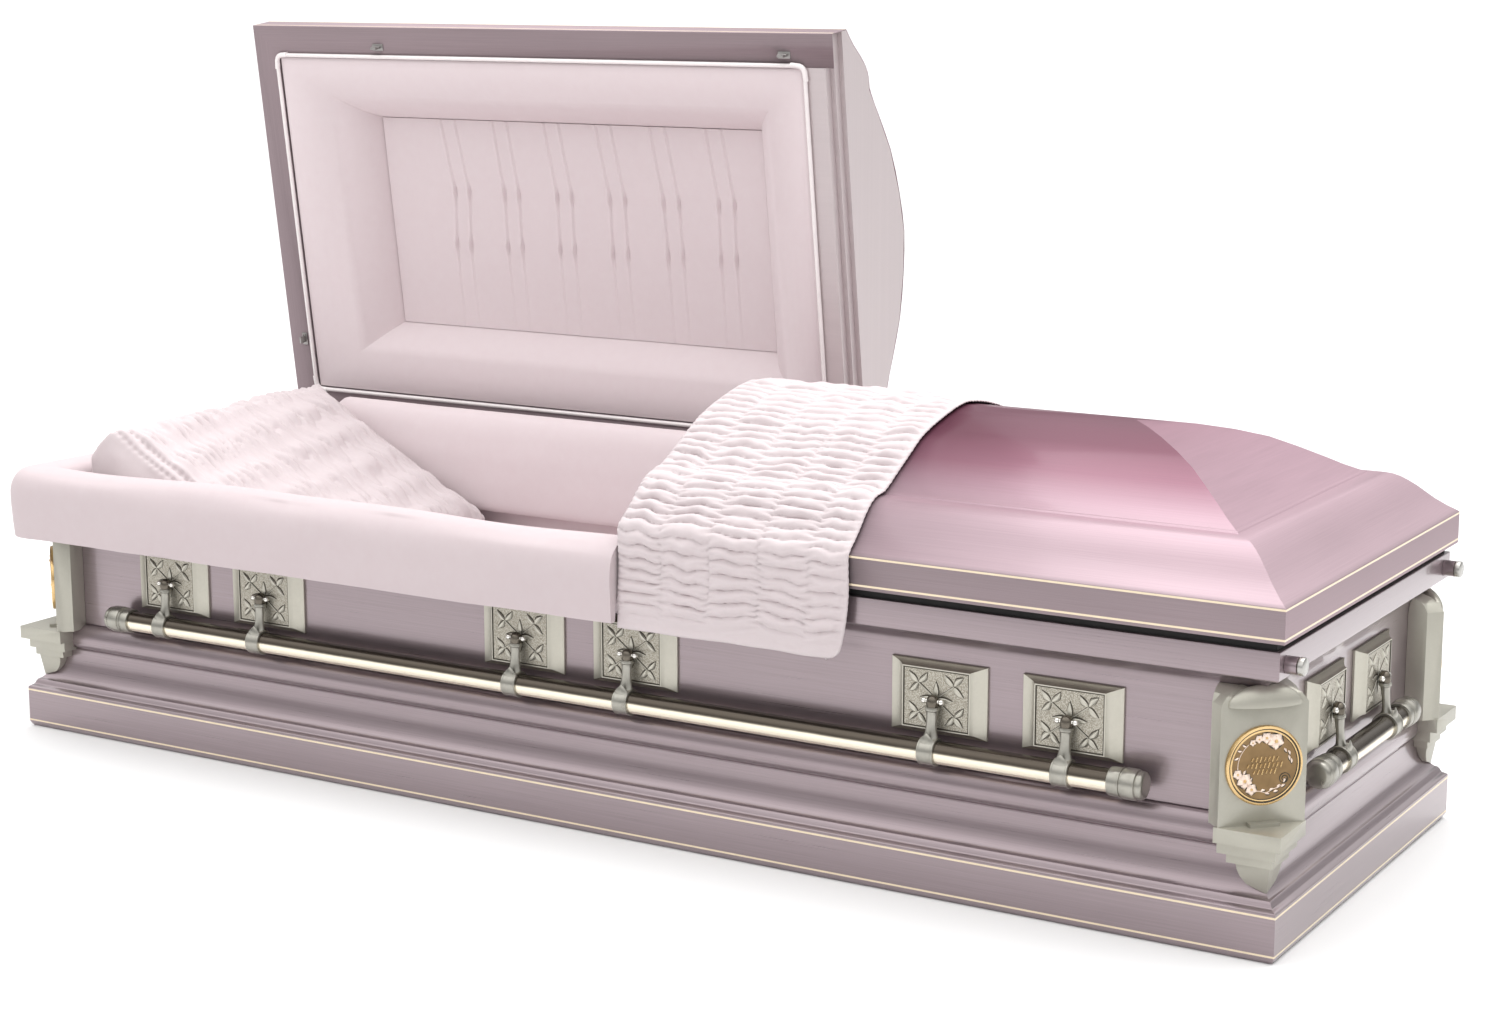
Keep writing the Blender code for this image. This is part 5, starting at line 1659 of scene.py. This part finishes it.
def back_roll_mesh():
    section = roll_section()
    middle = Vector((HALF_WIDTH - 0.083, LINING_BOTTOM + 0.15))
    bm = grid(len(section), 150)
    for vert in bm.verts:
        y, z = on_section(section, vert.co.y)
        x = ROLL_LEFT + (ROLL_RIGHT - ROLL_LEFT) * vert.co.x
        end = min(x - ROLL_LEFT, ROLL_RIGHT - x)
        full = math.sqrt(clamped(end / 0.030)) * 0.35 + 0.65
        y = middle.x + (y - middle.x) * full
        z = middle.y + (z - middle.y) * full
        soft = 0.0022 * noise.noise(Vector((x * 5.0, z * 9.0, 3.0)))
        soft += 0.0007 * noise.noise(Vector((x * 22, z * 14, 5.0)))
        vert.co = (x, y - soft * (y < middle.x + 0.012), z + soft * 0.5)
    return closed_skin(bm)


back_roll = put("back_roll", back_roll_mesh(), crepe_finish, "casket_body", (), 60)

mattress_bm = eased(solid_copy("mattress"), 0.018, 30, 5)
mattress = put("mattress_cover", mattress_bm, crepe_finish, "casket_body", ["mattress"], 60)
print("body lining made")

# %% [markdown]
# ## Lining of the lids
#
# Inside the head lid a white tube frame holds four soft rolls mitred at the corners,
# and behind them lies a panel with pairs of tucks that are tacked at two levels.

# %% Tube frame and rolls
TUBE_INSET = 0.0498
TUBE_LEVEL = LID_BOTTOM - 0.0036
BEND_STEPS = 8
FRAME_LEFT, FRAME_RIGHT = -LID_END, HEAD_LID_END


def rounded_frame(inset, radius, level):
    """Rectangle with round corners under the head lid's rim."""
    points = []
    corners = ((FRAME_LEFT + inset, -LID_SIDE + inset, 180), (FRAME_RIGHT - inset, -LID_SIDE + inset, 270),
               (FRAME_RIGHT - inset, LID_SIDE - inset, 0), (FRAME_LEFT + inset, LID_SIDE - inset, 90))
    for x, y, start in corners:
        centre_x = x + math.copysign(radius, FRAME_LEFT + FRAME_RIGHT - 2 * x)
        centre_y = y - math.copysign(radius, y)
        for step in range(BEND_STEPS + 1):
            angle = math.radians(start + step * 90 / BEND_STEPS)
            x, y = centre_x + radius * math.cos(angle), centre_y + radius * math.sin(angle)
            points.append(Vector((x, y, level)))
    return points


def tube_frame_mesh():
    frame_line = rounded_frame(TUBE_INSET, 0.012, TUBE_LEVEL)
    bm = bmesh.new()
    gather(bm, tube(frame_line, 0.0035, 4, closed=True), 0)
    for corner in range(4):
        bend = frame_line[corner * (BEND_STEPS + 1):(corner + 1) * (BEND_STEPS + 1)]
        lead = bend[0] + (bend[0] - bend[1]).normalized() * 0.012
        tail = bend[-1] + (bend[-1] - bend[-2]).normalized() * 0.012
        gather(bm, tube([lead, *bend, tail], 0.0044, 4), 0)
    bm.transform(OPEN)
    return bm


put("tube_frame", tube_frame_mesh(), tube_finish, "head_lid", ["head_lid_gasket"], 60)

OPENING_LEFT, OPENING_RIGHT, OPENING_SIDE = -0.854, -0.0855, 0.183
ROLL_START = 0.0533


def roll_stations():
    """Mitred stations whose inset is a share from the tube frame to the opening."""
    left, right, side = FRAME_LEFT + ROLL_START, FRAME_RIGHT - ROLL_START, LID_SIDE - ROLL_START
    slopes = (OPENING_LEFT - left, OPENING_RIGHT - right, side - OPENING_SIDE)
    return [
        ((left, -side), (slopes[0], slopes[2])), ((right, -side), (slopes[1], slopes[2])),
        ((right, side), (slopes[1], -slopes[2])), ((left, side), (slopes[0], -slopes[2])),
    ]


def roll_profile():
    face = [(0.0, 0.004), (0.012, 0.0005), (0.05, -0.0020), (0.12, -0.0035), (0.22, -0.0035), (0.34, -0.0010),
            (0.46, 0.0040), (0.58, 0.0110), (0.69, 0.0200), (0.79, 0.0310), (0.87, 0.0420), (0.93, 0.0525),
            (0.975, 0.0625), (1.0, 0.0705)]
    back = [(1.0, 0.0854), (0.35, 0.0854), (0.0, 0.0525), (0.0, 0.004)]
    return [(share, LID_BOTTOM + depth) for share, depth in face + back]


lid_roll_bm = outward(sheet_mesh(roll_profile(), roll_stations(), closed=True))
lid_roll_bm.transform(OPEN)
roll_node = ["head_lid_lining_roll"]
lid_roll = put("lid_rolls", lid_roll_bm, crepe_finish, "head_lid", roll_node, 38)
print("lid rolls made")

# %% Tucked panel
TUCK_TOPS = (-0.716, -0.606, -0.499, -0.394, -0.287, -0.179)
TUCK_KINKS = (-0.699, -0.595, -0.485, -0.378, -0.2715, -0.164)
TUCK_TACKS = (-0.7065, -0.598, -0.489, -0.381, -0.271, -0.168)
TUCK_START, KINK_Y, TACK_Y = -0.179, -0.058, 0.034
PAIR_HALF = 0.0150


def tuck_line(index, y):
    """Where a pair of tucks runs at y, bent at the two tacks."""
    if y < KINK_Y:
        share = (y - TUCK_START) / (KINK_Y - TUCK_START)
        return TUCK_TOPS[index] + (TUCK_KINKS[index] - TUCK_TOPS[index]) * share
    if y < TACK_Y:
        share = (y - KINK_Y) / (TACK_Y - KINK_Y)
        return TUCK_KINKS[index] + (TUCK_TACKS[index] - TUCK_KINKS[index]) * share
    return TUCK_TACKS[index]


def tucks(x, y):
    """Height of the tucked cloth over the panel."""
    height = 0.0
    for index in range(len(TUCK_TOPS)):
        for side in (-1, 1):
            away = x - tuck_line(index, y) - side * PAIR_HALF
            if abs(away) > 0.03:
                continue
            pinch = math.exp(-(((y - KINK_Y) / 0.011) ** 2)) + math.exp(-(((y - TACK_Y) / 0.011) ** 2))
            fade = 1.0 if y < TACK_Y else math.exp(-(y - TACK_Y) / 0.11)
            ridge = math.exp(-((away / 0.0030) ** 2)) * 0.0030
            crease = math.exp(-(((away - 0.0042) / 0.0015) ** 2)) * 0.0022
            height += (ridge - crease) * fade * (0.6 + 1.1 * pinch)
    return height + 0.0012 * noise.noise(Vector((x * 6, y * 9, 2.0)))


def ripple(x, y):
    return 0.0012 * noise.noise(Vector((x * 8, y * 8, 2.0)))


def lining_panel(node, body, swing, bm, corners, relief):
    """Padded panel on a flat grid between two corners, raised by a height function."""
    start, end = corners
    for vert in bm.verts:
        x = start.x + (end.x - start.x) * vert.co.x
        y = start.y + (end.y - start.y) * vert.co.y
        vert.co = (x, y, start.z + 0.0045 - relief(x, y))
    bmesh.ops.solidify(bm, geom=bm.faces[:], thickness=0.008)
    outward(bm).transform(swing)
    panel = put(node + "_cover", bm, crepe_finish, body, [node], 60)


level = LID_BOTTOM + 0.0702
opening = (Vector((OPENING_LEFT, -OPENING_SIDE, level)), Vector((OPENING_RIGHT, OPENING_SIDE, level)))
lining_panel("head_lid_lining_panel", "head_lid", OPEN, grid(80, 600), opening, tucks)
plain_field = (low("foot_lid_lining"), high("foot_lid_lining"))
lining_panel("foot_lid_lining", "foot_lid", CLOSED, grid(20, 40), plain_field, ripple)
print("lid linings made")

# %% [markdown]
# ## Soft pieces under the lid
#
# When the head lid comes down it meets the pillow, the back roll and the apron. Each of
# them gets a mesh of its own.

# %% Own meshes for the soft pieces
PILLOW_REST, ROLL_REST = 0.2165, 0.302
SQUASHED = ((pillow, PILLOW_REST, 0.62), (back_roll, ROLL_REST, 0.55), (apron, BODY_TOP, 0.12))
for piece, level, keep_share in SQUASHED:
    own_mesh(piece)

# %% [markdown]
# ## Pieces that keep their solid
#
# A solid with the right shape stays and only gets its finish.

# %% Finishes on the frame's own solids
def keep(node, finish):
    piece = frame["nodes"][node]
    if piece.data.materials:
        piece.data.materials[0] = finish
    else:
        piece.data.materials.append(finish)


for node in ("head_lid_header", "foot_lid_header"):
    keep(node, header_finish)
for node in ("head_hinge", "foot_hinge", "head_lid_hinge_leaf", "foot_lid_hinge_leaf"):
    keep(node, steel_finish)
keep("body_gasket", rubber_finish)
keep("bottom_pan", pan_finish)
print("frame solids finished")

# %% [markdown]
# ## Floor, light and camera
#
# A white sweep, large soft lights and a camera solved from the photograph: 66.7 mm on
# a 36 mm sensor, standing at the foot end and a little above the lid.

# %% Stage
def studio_floor():
    bm = bmesh.new()
    bmesh.ops.create_grid(bm, x_segments=1, y_segments=1, size=400)
    bmesh.ops.translate(bm, verts=bm.verts, vec=(0, 0, -0.0004))
    mesh = bpy.data.meshes.new("studio_floor")
    bm.to_mesh(mesh)
    bm.free()
    floor = bpy.data.objects.new("studio_floor", mesh)
    mesh.materials.append(Finish("floor_white").set(Base_Color=(0.83, 0.83, 0.83), Roughness=0.8))
    bpy.context.collection.objects.link(floor)


def soft_light(name, place, target, size, power):
    light = bpy.data.lights.new(name, "AREA")
    light.shape = "RECTANGLE"
    light.size, light.size_y = size
    light.energy = power
    lamp = bpy.data.objects.new(name, light)
    lamp.location = place
    lamp.rotation_euler = (Vector(target) - Vector(place)).to_track_quat("-Z", "Y").to_euler()
    bpy.context.collection.objects.link(lamp)


def studio_world(horizon, zenith):
    """White light that is dimmer near the horizon, as in a room lit from above."""
    world = bpy.data.worlds.new("studio")
    world.use_nodes = True
    tree = world.node_tree
    direction = tree.nodes.new("ShaderNodeTexCoord")
    parts = tree.nodes.new("ShaderNodeSeparateXYZ")
    level = tree.nodes.new("ShaderNodeMapRange")
    for key, value in (("From Min", 0.08), ("From Max", 0.66), ("To Min", horizon), ("To Max", zenith)):
        level.inputs[key].default_value = value
    tree.links.new(direction.outputs["Generated"], parts.inputs[0])
    tree.links.new(parts.outputs["Z"], level.inputs["Value"])
    backdrop = tree.nodes["Background"]
    backdrop.inputs["Color"].default_value = (1.0, 1.0, 1.0, 1.0)
    tree.links.new(level.outputs[0], backdrop.inputs["Strength"])
    bpy.context.scene.world = world


studio_floor()
studio_world(0.30, 1.66)
soft_light("key", (-2.2, -2.4, 3.6), (0, 0, 0.3), (3.0, 3.0), 9)
soft_light("top", (0.1, 0.6, 3.4), (0, 0, 0.3), (5.0, 2.6), 90)
bpy.context.scene.view_settings.view_transform = "Standard"
print("stage set")

# %% Camera
CAMERA_PLACE = (2.18692, -3.46533, 1.23052)
CAMERA_AZIMUTH = 31.258
CAMERA_ELEVATION = 11.2747
CAMERA_ROLL = -0.107
camera_data = bpy.data.cameras.new("camera")
camera_data.lens = 66.71
camera_data.sensor_width = 36.0
camera = bpy.data.objects.new("camera", camera_data)
turn = Matrix.Rotation(math.radians(CAMERA_AZIMUTH), 4, "Z")
tilt = Matrix.Rotation(math.radians(90 - CAMERA_ELEVATION), 4, "X")
roll = Matrix.Rotation(math.radians(CAMERA_ROLL), 4, "Z")
camera.matrix_world = Matrix.Translation(CAMERA_PLACE) @ turn @ tilt @ roll
bpy.context.collection.objects.link(camera)
bpy.context.scene.camera = camera
print("camera placed")

# %% End
print("scene done")
